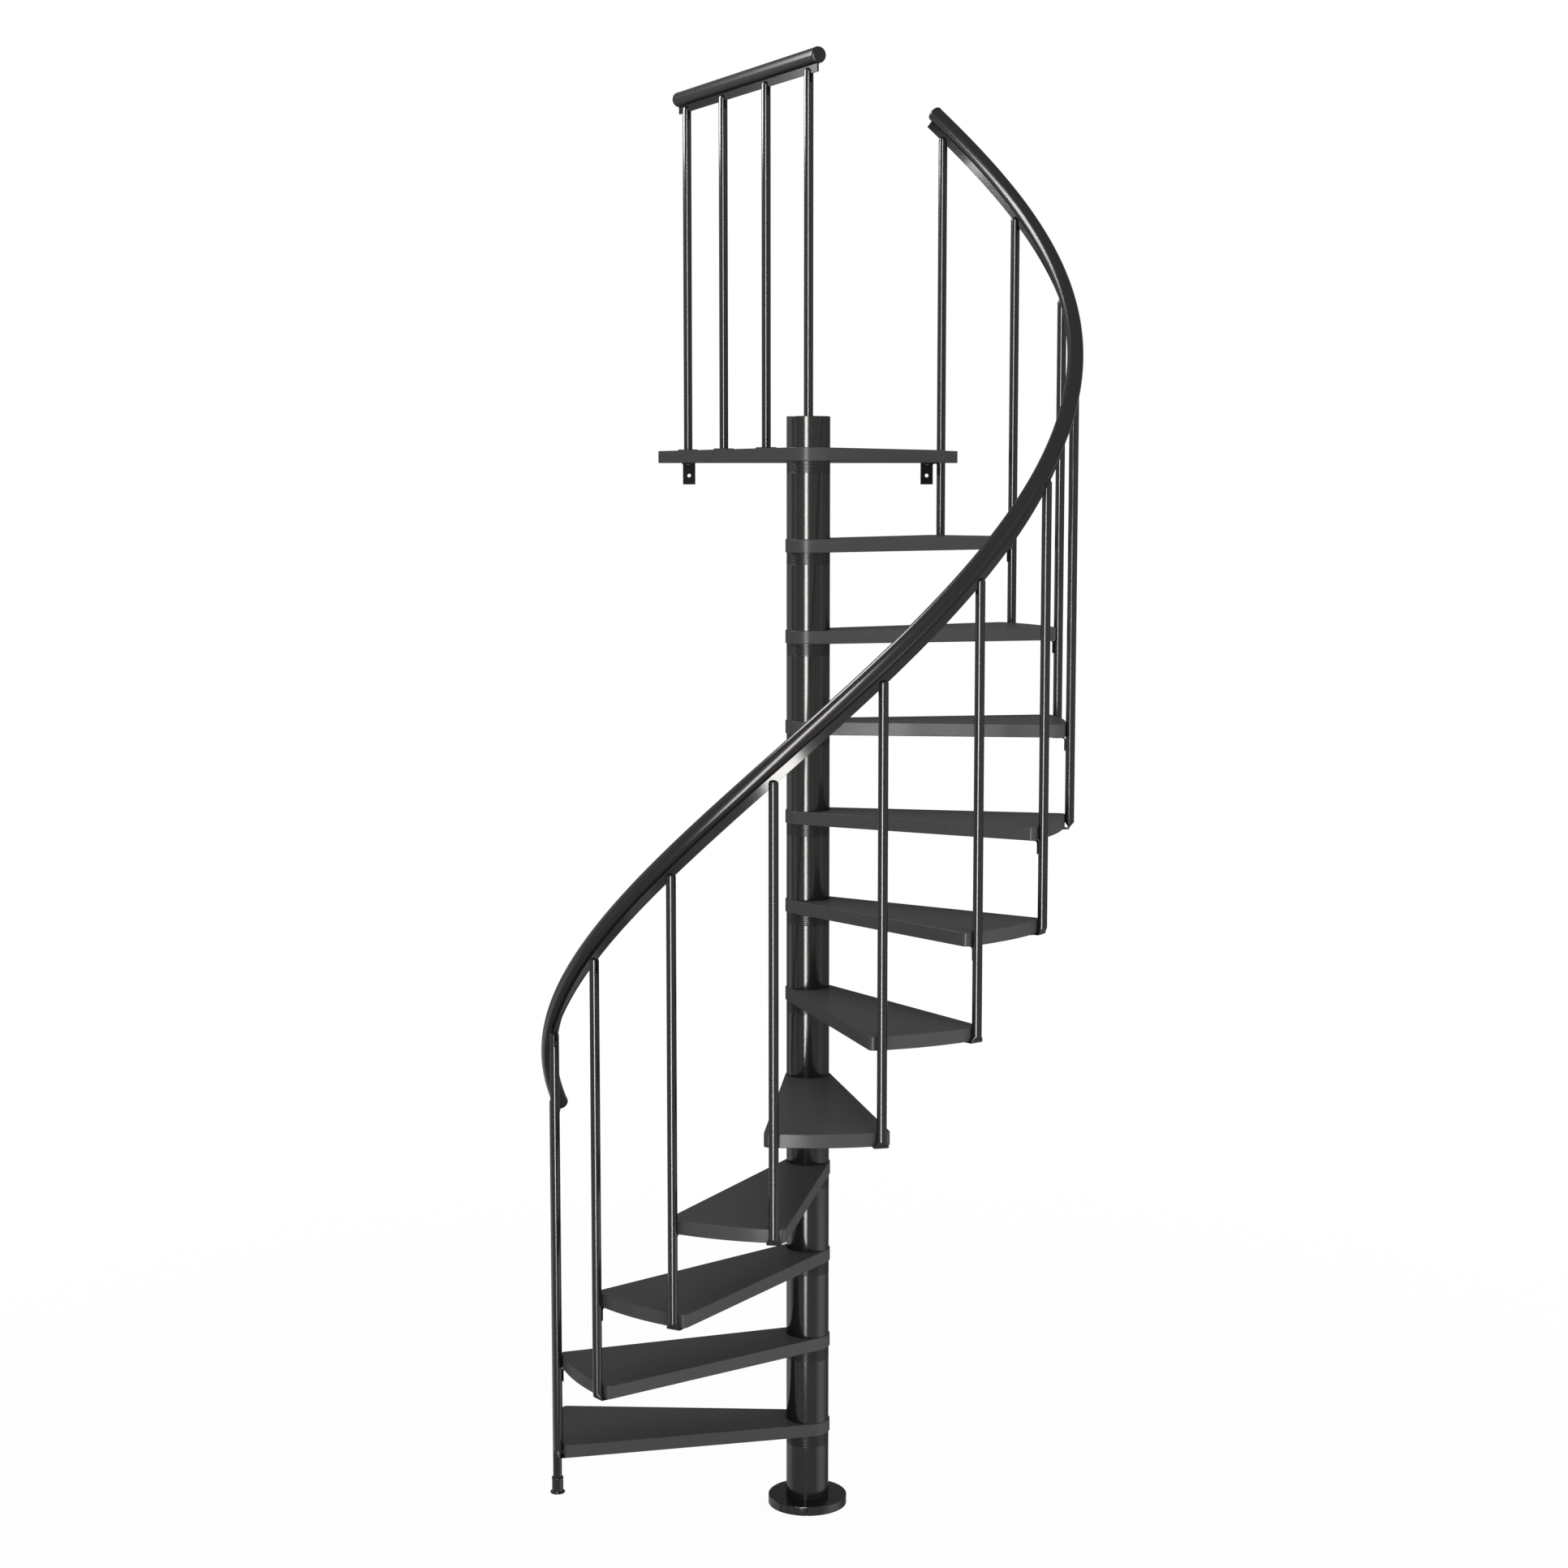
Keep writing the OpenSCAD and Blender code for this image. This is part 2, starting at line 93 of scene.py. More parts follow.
class Surface:
    """Gathers grids of points and flat caps into one mesh."""

    def __init__(self) -> None:
        """Starts an empty surface."""
        self.points: list[Array] = []
        self.loops: list[Array] = []
        self.sizes: list[Array] = []
        self.count = 0

    def grid(self, points: Array, wrap_rings: bool = False) -> Array:
        """Adds the quads of a grid whose rings are closed.

        Quad (i, j) joins the points (i, j), (i, j + 1), (i + 1, j + 1) and (i + 1, j). Faces look outwards where a ring
        runs anticlockwise, seen against the direction in which the rings follow each other.

        Args:
            points: Array of shape (rings, sides, 3).
            wrap_rings: True if the last ring joins the first, as on a solid of revolution with a closed profile.

        Returns:
            The numbers of the points, of shape (rings, sides).
        """
        rings, sides = points.shape[:2]
        index = np.arange(rings * sides).reshape(rings, sides) + self.count
        self.points.append(points.reshape(-1, 3))
        self.count += rings * sides
        here = index if wrap_rings else index[:-1]
        ahead = np.roll(index, -1, axis=0) if wrap_rings else index[1:]
        quads = np.stack([here, np.roll(here, -1, axis=1), np.roll(ahead, -1, axis=1), ahead], axis=-1)
        self.loops.append(quads.reshape(-1))
        self.sizes.append(np.full(quads.size // 4, 4))
        return index

    def cap(self, ring: Array) -> None:
        """Adds one flat face through a ring of point numbers, anticlockwise seen from outside."""
        self.loops.append(ring)
        self.sizes.append(np.array([len(ring)]))

    def rod(self, points: Array) -> None:
        """Adds a grid of closed rings with a flat face at each end."""
        index = self.grid(points)
        self.cap(index[0][::-1])
        self.cap(index[-1])

    def ring(self, profile: Array, sides: int, place: Sequence[float] = (0, 0, 0)) -> None:
        """Adds a closed profile of (radius, height), carried round the upright axis through a place."""
        self.grid(revolve(profile, sides)[::-1][:, ::-1] + np.asarray(place), wrap_rings=True)

    def build(self, name: str) -> bpy.types.Object:
        """Makes the object, shaded smooth where faces meet at up to SMOOTH_TO, with normals weighted by face area.

        Args:
            name: Name of the piece.

        Returns:
            The object, linked to the scene, with its place in its mesh.
        """
        sizes = np.concatenate(self.sizes).astype(np.int32)
        loops = np.concatenate(self.loops).astype(np.int32)
        mesh = bpy.data.meshes.new(name)
        mesh.vertices.add(self.count)
        mesh.vertices.foreach_set("co", np.concatenate(self.points).astype(np.float32).ravel())
        mesh.loops.add(len(loops))
        mesh.loops.foreach_set("vertex_index", loops)
        mesh.polygons.add(len(sizes))
        mesh.polygons.foreach_set("loop_start", np.cumsum(sizes, dtype=np.int32) - sizes)
        mesh.polygons.foreach_set("use_smooth", np.ones(len(sizes), dtype=bool))
        mesh.update(calc_edges=True)
        mesh.validate()
        mesh.set_sharp_from_angle(angle=SMOOTH_TO)
        piece = linked(name, mesh)
        weighted = piece.modifiers.new("Weighted normals", "WEIGHTED_NORMAL")
        weighted.keep_sharp = True
        return piece


def arc(centre: Sequence[float], radius: float, start: float, end: float, count: int) -> Array:
    """Points of an arc in a plane: centre + radius (cos t, sin t), with t from start to end.

    Args:
        centre: Middle of the arc.
        radius: Its radius.
        start: First angle, in radians.
        end: Last angle, in radians.
        count: Number of points.

    Returns:
        Array of shape (count, 2).
    """
    t = np.linspace(start, end, count)
    return np.asarray(centre) + radius * np.stack([np.cos(t), np.sin(t)], axis=-1)


def revolve(profile: Array, sides: int) -> Array:
    """Carries a profile of (radius, height) round the Z axis: (r cos t, r sin t, z).

    Args:
        profile: Array of shape (n, 2).
        sides: Number of steps round the axis.

    Returns:
        Array of shape (n, sides, 3).
    """
    t = np.arange(sides) * 2 * np.pi / sides
    r, z = profile[:, :1], profile[:, 1:]
    return np.stack([r * np.cos(t), r * np.sin(t), np.broadcast_to(z, (len(profile), sides))], axis=-1)


def placed(points: Array, turn: float, place: Sequence[float]) -> Array:
    """Turns points about the Z axis and then moves them.

    Args:
        points: Array of shape (..., 3).
        turn: Angle, in radians.
        place: Shift along X, Y and Z.

    Returns:
        Array of the same shape.
    """
    c, s = math.cos(turn), math.sin(turn)
    return points @ np.array([[c, s, 0], [-s, c, 0], [0, 0, 1]]) + np.asarray(place)


def polar(radius: float, angle: float) -> Array:
    """Point of a plane at a radius and an angle in radians."""
    return radius * np.array([math.cos(angle), math.sin(angle)])


def box_corners(node: str) -> tuple[Array, Array]:
    """Lower and upper corner of a solid's box."""
    low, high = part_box(node)
    return np.array(low), np.array(high)


def box_middle(node: str) -> Array:
    """Middle of a solid's box."""
    return sum(box_corners(node)) / 2


def eased_section(low: Sequence[float], high: Sequence[float], edge: float) -> Array:
    """Rectangle with quarter rounds at its corners, clockwise.

    Args:
        low: Its lower left corner.
        high: Its upper right corner.
        edge: Radius of the quarter rounds.

    Returns:
        Array of shape (n, 2).
    """
    (left, lower), (right, upper) = np.asarray(low) + edge, np.asarray(high) - edge
    places = ((right, lower), (right, upper), (left, upper), (left, lower))
    turns = np.arange(-1, 4) * np.pi / 2
    rounds = [arc(place, edge, start, end, EASE_POINTS) for place, start, end in zip(places, turns, turns[1:])]
    return np.concatenate(rounds)[::-1]


def lofted_board(outline: Array, outward: Array, low: float, high: float, edge: float, steps: int = 4) -> Array:
    """Rings of a board with eased edges.

    A ring is p - e (1 - cos b) n, at the height low + e (1 + sin b) below and high - e (1 - sin b) above.

    Args:
        outline: Points p of the outline, anticlockwise, of shape (n, 2).
        outward: Unit normals n of the outline at those points.
        low: Height of the underside.
        high: Height of the top.
        edge: Radius e of the eased edges.
        steps: Steps in each quarter turn of b.

    Returns:
        Array of shape (rings, n, 3).
    """
    above = np.linspace(0, np.pi / 2, steps + 1)
    below = above - np.pi / 2
    heights = np.concatenate([low + edge * (1 + np.sin(below)), high - edge * (1 - np.sin(above))])
    flat = outline - edge * (1 - np.cos(np.concatenate([below, above])))[:, None, None] * outward
    return np.concatenate([flat, np.broadcast_to(heights[:, None, None], flat.shape[:2] + (1,))], axis=-1)


@dataclass(frozen=True)
class StairPlan:
    """Main sizes of the stair, in metres and radians.

    The places of treads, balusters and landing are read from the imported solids.
    """

    step_angle: float = math.radians(22)
    seat_gap: float = 0.3 * MM
    foot_t: float = 3 * MM
    rise: float = field(default_factory=lambda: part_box("tread_02")[1].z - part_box("tread_01")[1].z)
    tread_t: float = field(default_factory=lambda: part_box("tread_01")[1].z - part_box("tread_01")[0].z)
    tread_count: int = field(default_factory=lambda: sum(node[:6] == "tread_" and node[6:].isdigit()
                                                         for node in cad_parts))
    baluster_low: Array = field(default_factory=lambda: box_corners("baluster_00")[0])
    baluster_high: Array = field(default_factory=lambda: box_corners("baluster_00")[1])
    platform_top: float = field(default_factory=lambda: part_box("platform")[1].z)
    column_r: float = field(default_factory=lambda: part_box("column_cap")[1].x)
    column_top: float = field(default_factory=lambda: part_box("column_cap")[1].z)

    @property
    def first_baluster(self) -> Array:
        """Axis of the baluster that stands on the floor."""
        return (self.baluster_low + self.baluster_high)[:2] / 2

    @property
    def baluster_r(self) -> float:
        """Radius of the balusters."""
        return float(self.baluster_high[0] - self.baluster_low[0]) / 2

    @property
    def circle_r(self) -> float:
        """Radius of the circle that the balusters stand on."""
        return float(np.hypot(*self.first_baluster))

    @property
    def tread_r(self) -> float:
        """Radius of the outer ends of the treads, which the balusters stand against."""
        return self.circle_r - self.baluster_r - self.seat_gap

    def baluster_angle(self, k: Number) -> Number:
        """Direction of baluster k from the column."""
        return math.atan2(self.first_baluster[1], self.first_baluster[0]) + self.step_angle * k

    def tread_angle(self, k: Number) -> Number:
        """Direction of the middle of tread k."""
        return self.baluster_angle(k) - self.step_angle / 2

    def tread_top(self, k: Number) -> Number:
        """Height of the top of tread k."""
        return self.rise * k

    def tread_under(self, k: Number) -> Number:
        """Height of the underside of tread k."""
        return self.tread_top(k) - self.tread_t

    def baluster_top(self, k: int) -> float:
        """Height of the top of baluster k."""
        return float(self.baluster_high[2]) + self.rise * k

    @property
    def slope(self) -> float:
        """Slope of the handrail."""
        return math.atan2(self.rise, self.step_angle * self.circle_r)

    @property
    def landing_direction(self) -> float:
        """Direction of the landing rail, seen from above."""
        far = box_middle("landing_baluster_4")
        return math.atan2(far[1], far[0])


class NodeSheet:
    """Places nodes and links in a node tree."""

    def __init__(self, tree: bpy.types.NodeTree) -> None:
        """Works on the given tree, emptied."""
        self.tree = tree
        tree.nodes.clear()

    def add(self, kind: str, options: dict | None = None, *values: object, **inputs: object) -> bpy.types.Node:
        """Adds a node.

        Args:
            kind: Its type, such as ShaderNodeTexNoise.
            options: Properties of the node.
            *values: Values or output sockets for its first inputs, in order.
            **inputs: The same for inputs by name, with spaces in their names written as underscores.

        Returns:
            The node.
        """
        node = self.tree.nodes.new(kind)
        for name, value in (options or {}).items():
            setattr(node, name, value)
        named = [node.inputs[name.replace("_", " ")] for name in inputs]
        for socket, value in zip([*node.inputs[:len(values)], *named], [*values, *inputs.values()]):
            self.feed(socket, value)
        return node

    def feed(self, socket: bpy.types.NodeSocket, value: object) -> None:
        """Links an output socket to an input, or sets the input's own value."""
        if isinstance(value, bpy.types.NodeSocket):
            self.tree.links.new(value, socket)
        else:
            socket.default_value = value

    def math(self, operation: str, *values: object) -> bpy.types.NodeSocket:
        """Adds an operation on numbers and returns its result's socket."""
        return self.add("ShaderNodeMath", {"operation": operation}, *values).outputs[0]

    def toned(self, colour: Colour, tone: bpy.types.NodeSocket) -> bpy.types.NodeSocket:
        """Multiplies a colour by a tone.

        A Mix node has sockets for each type of value. For colours, inputs 0, 6 and 7 are the factor, A and B, and
        output 2 is the result.

        Args:
            colour: The colour.
            tone: Socket of the tone.

        Returns:
            The result's socket.
        """
        node = self.add("ShaderNodeMix", {"data_type": "RGBA", "blend_type": "MULTIPLY"})
        for number, value in ((0, 1.0), (6, (*colour, 1.0)), (7, tone)):
            self.feed(node.inputs[number], value)
        return node.outputs[2]


def grain_group() -> bpy.types.NodeTree:
    """Builds, once, the shader node group that gives a fine or slow variation over a surface.

    A noise of the given scale is spread to a tone of 1 plus or minus half the contrast, and put out as a height too.

    Returns:
        The group's tree, with the inputs Vector, Scale and Contrast and the outputs Tone and Height.
    """
    made = bpy.data.node_groups.get(GRAIN_GROUP)
    if made is not None:
        return made
    group = bpy.data.node_groups.new(GRAIN_GROUP, "ShaderNodeTree")
    for name, way, kind in (("Vector", "INPUT", "Vector"), ("Scale", "INPUT", "Float"), ("Contrast", "INPUT", "Float"),
                            ("Tone", "OUTPUT", "Float"), ("Height", "OUTPUT", "Float")):
        group.interface.new_socket(name, in_out=way, socket_type=f"NodeSocket{kind}")
    sheet = NodeSheet(group)
    given = sheet.add("NodeGroupInput").outputs
    noise = sheet.add("ShaderNodeTexNoise", Vector=given["Vector"], Scale=given["Scale"], Detail=3.0,
                      Roughness=0.6).outputs["Fac"]
    centred = sheet.math("SUBTRACT", noise, 0.5)
    sheet.add("NodeGroupOutput", Tone=sheet.math("MULTIPLY_ADD", centred, given["Contrast"], 1.0), Height=noise)
    return group


@dataclass(frozen=True)
class Finish:
    """Finish of a piece: a colour and a gloss that vary a little, over a fine relief.

    Scales count the features in a metre. Contrasts are full swings about the middle value.
    """

    name: str
    colour: Colour
    roughness: float
    metallic: float
    specular: float = 0.0
    edge_tint: float = 0.5
    grain_scale: float = 1400.0
    grain_contrast: float = 0.25
    cloud_scale: float = 5.0
    cloud_contrast: float = 0.3
    relief: float = 0.06
    relief_depth: float = 0.0004

    def material(self) -> bpy.types.Material:
        """Builds the material once.

        Returns:
            The material.
        """
        made = bpy.data.materials.get(self.name)
        if made is not None:
            return made
        material = bpy.data.materials.new(self.name)
        material.use_nodes = True
        sheet = NodeSheet(material.node_tree)
        place = sheet.add("ShaderNodeTexCoord").outputs["Object"]
        grain, cloud = (
            sheet.add("ShaderNodeGroup", {"node_tree": grain_group()}, place, scale, swing).outputs
            for scale, swing in ((self.grain_scale, self.grain_contrast), (self.cloud_scale, self.cloud_contrast))
        )
        gloss = sheet.math("MULTIPLY", cloud["Tone"], self.roughness)
        bump = sheet.add("ShaderNodeBump", Strength=self.relief, Distance=self.relief_depth, Height=grain["Height"])
        shader = sheet.add("ShaderNodeBsdfPrincipled", Base_Color=sheet.toned(self.colour, grain["Tone"]),
                           Metallic=self.metallic, Roughness=gloss, Normal=bump.outputs["Normal"],
                           Specular_IOR_Level=self.specular, Specular_Tint=(self.edge_tint,) * 3 + (1.0,))
        sheet.add("ShaderNodeOutputMaterial", Surface=shader.outputs["BSDF"])
        return material


@dataclass(frozen=True)
class Finishes:
    """Finishes of the stair."""

    steel: Finish = Finish("satin_black_steel", (0.0335, 0.0327, 0.0318), 0.16, 0.6, cloud_contrast=0.15, relief=0.003)
    board: Finish = Finish("anthracite_board", (0.0735, 0.0735, 0.073), 0.27, 0.075, grain_scale=700.0,
                           grain_contrast=0.5, relief=0.02)
    rail: Finish = Finish("satin_black_rail", (0.028, 0.027, 0.0265), 0.25, 0.65, grain_scale=1800.0,
                          cloud_contrast=0.15, relief=0.004)
    plastic: Finish = Finish("satin_black_moulding", (0.03, 0.0295, 0.029), 0.26, 0.4, relief=0.006)
    bracket: Finish = Finish("matt_black_bracket", (0.017, 0.017, 0.0167), 0.5, 0.08, relief=0.02)
    screw: Finish = Finish("blackened_screw", (0.06, 0.06, 0.058), 0.3, 1.0, specular=0.5)

    def of(self, slot: Slot) -> Finish:
        """Finish of a material slot."""
        return {Slot.STEEL: self.steel, Slot.BOARD: self.board, Slot.RAIL: self.rail, Slot.PLASTIC: self.plastic}[slot]


@dataclass
class SubAssembly:
    """A group of pieces that are built and dressed together."""

    plan: StairPlan
    finishes: Finishes

    def keep(self, piece: bpy.types.Object, slot: Slot, *nodes: str, finish: Finish | None = None) -> None:
        """Gives a new piece its finish and its body, and hides the solids that it stands for.

        Args:
            piece: The piece.
            slot: Material slot that it belongs to.
            *nodes: Solids that it replaces.
            finish: Finish of its own, where it differs from the slot's.
        """
        piece.data.materials.append((finish or self.finishes.of(slot)).material())
        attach(piece, BODY)
        if nodes:
            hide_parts(*nodes)
        LOG.info("%s: %d faces, stands for %s", piece.name, len(piece.data.polygons), ", ".join(nodes) or "no solid")

    def keep_solid(self, node: str, slot: Slot, bevel: float = 0.0, finish: Finish | None = None) -> None:
        """Dresses a solid that keeps its shape, shaded smooth between its sharp edges.

        Args:
            node: Name of the solid.
            slot: Material slot that it belongs to.
            bevel: Width of the bevel on its sharp edges, or zero for none.
            finish: Finish of its own, where it differs from the slot's.
        """
        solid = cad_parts[node]
        solid.data.materials.clear()
        solid.data.materials.append((finish or self.finishes.of(slot)).material())
        solid.data.polygons.foreach_set("use_smooth", np.ones(len(solid.data.polygons), dtype=bool))
        weld = solid.modifiers.new("Weld", "WELD")
        weld.merge_threshold = WELD_GAP
        if bevel:
            ease = solid.modifiers.new("Eased edges", "BEVEL")
            ease.width = bevel
            ease.segments = 2
            ease.limit_method = "ANGLE"
            ease.angle_limit = BEVEL_FROM
            weighted = solid.modifiers.new("Weighted normals", "WEIGHTED_NORMAL")
            weighted.keep_sharp = False
        else:
            split = solid.modifiers.new("Sharp edges", "EDGE_SPLIT")
            split.split_angle = SPLIT_FROM
        LOG.info("%s: solid kept", node)


@dataclass
class Column(SubAssembly):
    """Sleeves, spacer rings and cap of the column, and the solids at its foot."""

    sleeve_wall: float = 2 * MM
    ring_t: float = 5 * MM
    ring_count: int = 6
    ring_bore_r: float = 38.3 * MM
    ring_edge: float = 0.9 * MM
    sleeve_edge: float = 0.6 * MM
    cap_edge: float = 1.5 * MM
    foot_z: float = 8 * MM
    sides: int = 128
    ring_sides: int = 72

    def build(self) -> None:
        """Builds and dresses the column."""
        self.stack()
        self.cap()
        for node in ("base_cover_left", "base_cover_right", "base_plate", "core_post"):
            self.keep_solid(node, Slot.STEEL)

    @property
    def sleeve_h(self) -> float:
        """Height of a sleeve's top above the tread below it."""
        return self.plan.rise - self.plan.tread_t - self.ring_t * self.ring_count

    def ring_profile(self, inner: float, low: float, high: float, edge: float) -> Array:
        """Closed profile of a ring as wide as the column, whose outer edges are quarter rounds.

        Args:
            inner: Inner radius.
            low: Lower height.
            high: Upper height.
            edge: Radius of the outer edges.

        Returns:
            Array of (radius, height) points.
        """
        outer = self.plan.column_r
        lower = arc((outer - edge, low + edge), edge, -np.pi / 2, 0, EASE_POINTS)
        upper = arc((outer - edge, high - edge), edge, 0, np.pi / 2, EASE_POINTS)
        return np.concatenate([[[inner, low]], lower, upper, [[inner, high]]])

    def stack(self) -> None:
        """Builds a sleeve for each rise, and the spacer rings above it, whose round edges leave grooves between."""
        sleeves, spacers, plan = Surface(), Surface(), self.plan
        for k in range(plan.tread_count + 1):
            foot, top = plan.tread_top(k) if k else self.foot_z, plan.tread_top(k) + self.sleeve_h
            profile = self.ring_profile(plan.column_r - self.sleeve_wall, foot, top, self.sleeve_edge)
            sleeves.ring(profile, self.sides)
            for low in top + self.ring_t * np.arange(self.ring_count):
                profile = self.ring_profile(self.ring_bore_r, low, low + self.ring_t, self.ring_edge)
                spacers.ring(profile, self.ring_sides)
        self.keep(sleeves.build("column_tubes"), Slot.STEEL, "column_sleeves")
        self.keep(spacers.build("column_spacers"), Slot.PLASTIC, "spacer_rings_odd", "spacer_rings_even")

    def cap(self) -> None:
        """Builds the closed upper end of the column, a revolved cup upside down."""
        outer, top, wall = self.plan.column_r, self.plan.column_top, self.sleeve_wall
        profile = np.concatenate([
            [[outer - wall, self.plan.platform_top], [outer, self.plan.platform_top]],
            arc((outer - self.cap_edge, top - self.cap_edge), self.cap_edge, 0, np.pi / 2, 5),
        ])
        surface = Surface()
        surface.rod(revolve(profile, self.sides))
        self.keep(surface.build("column_end"), Slot.STEEL, "column_cap")


@dataclass
class Boards(SubAssembly):
    """Treads and platform: boards with a boss round the column and eased edges."""

    hub_r: float = 59 * MM
    half_angle: float = math.radians(8.2)
    corner: float = 13 * MM
    edge: float = 2.0 * MM
    platform_half_angle: float = math.radians(26)
    platform_corner: float = 2.5 * MM
    inner_corner: float = 2.5 * MM

    def build(self) -> None:
        """Builds and dresses every board."""
        plan, outline = self.plan, self.tread_outline()
        for k in range(1, plan.tread_count + 1):
            self.board(f"tread_board_{k:02d}", outline, plan.tread_top(k), plan.tread_angle(k), f"tread_{k:02d}")
        self.board("platform_board", self.platform_outline(), plan.platform_top, np.pi / 2, "platform")

    def board(self, name: str, outline: tuple[Array, Array], top: float, turn: float, node: str) -> None:
        """Builds a board.

        Args:
            name: Name of the piece.
            outline: Points and normals of its outline about the +X axis.
            top: Height of its top.
            turn: Direction in which it points.
            node: Solid that the piece stands for.
        """
        surface = Surface()
        rings = lofted_board(*outline, top - self.plan.tread_t, top, self.edge)
        surface.rod(placed(rings, turn, (0, 0, 0)))
        self.keep(surface.build(name), Slot.BOARD, node)

    @staticmethod
    def joined(arcs: Sequence[tuple[Sequence[float], float, float, float, int]]) -> tuple[Array, Array]:
        """Joins arcs into an outline with its outward normals; the straight sides lie between arcs.

        Args:
            arcs: Middle, radius, first angle, last angle and number of points of each arc.

        Returns:
            Points and unit normals, each of shape (n, 2).
        """
        points = np.concatenate([arc(*piece) for piece in arcs])
        normals = np.concatenate([arc((0, 0), 1, *piece[2:]) for piece in arcs])
        return points, normals

    @property
    def tread_corner_middle(self) -> Array:
        """Middle of the rounded left corner of a tread about the +X axis; its circle touches the side and the arc."""
        inner = self.hub_r - self.corner
        along = math.sqrt((self.plan.tread_r - self.corner) ** 2 - inner**2)
        return along * polar(1, self.half_angle) + inner * polar(1, self.half_angle + np.pi / 2)

    def tread_outline(self) -> tuple[Array, Array]:
        """Outline of a tread about the +X axis.

        The sides touch the boss. The corner circles touch the sides and the outer arc.

        Returns:
            Points and unit normals, each of shape (n, 2).
        """
        middle, square = self.tread_corner_middle, self.half_angle + np.pi / 2
        reach = math.atan2(middle[1], middle[0])
        return self.joined([
            ((0, 0), self.plan.tread_r, -reach, reach, 25),
            (middle, self.corner, reach, square, 12),
            ((0, 0), self.hub_r, square, 2 * np.pi - square, 40),
            (middle * (1, -1), self.corner, -square, -reach, 12),
        ])

    def platform_outline(self) -> tuple[Array, Array]:
        """Outline of the platform about the +X axis.

        The landing has sides that touch the boss and a straight far edge. The last step, one step angle to the right,
        has a tread's outline, and its arc meets the landing's right side in a small rounded inner corner: an arc of
        negative radius, whose middle lies outside, at that radius from the side and from the step's arc.

        Returns:
            Points and unit normals, each of shape (n, 2).
        """
        side, square, step = self.platform_half_angle, self.platform_half_angle + np.pi / 2, self.plan.step_angle
        inner = self.hub_r - self.platform_corner
        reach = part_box("platform")[1].y - self.platform_corner
        along = (reach + inner * math.sin(side)) / math.cos(side)
        far = along * polar(1, side) + inner * polar(1, square)
        front = self.tread_corner_middle * (1, -1)
        front_from, front_to = -step - self.half_angle - np.pi / 2, math.atan2(front[1], front[0]) - step
        front = polar(math.hypot(*front), front_to)
        joint_out = self.hub_r + self.inner_corner
        joint_along = math.sqrt((self.plan.tread_r + self.inner_corner) ** 2 - joint_out**2)
        joint = joint_along * polar(1, -side) + joint_out * polar(1, -square)
        joint_from = math.atan2(joint[1], joint[0])
        return self.joined([
            (far, self.platform_corner, 0, square, 8),
            ((0, 0), self.hub_r, square, 2 * np.pi + front_from, 48),
            (front, self.corner, front_from, front_to, 12),
            ((0, 0), self.plan.tread_r, front_to, joint_from, 6),
            (joint, -self.inner_corner, joint_from, -square, 8),
            (far * (1, -1), self.platform_corner, -square, 0, 8),
        ])


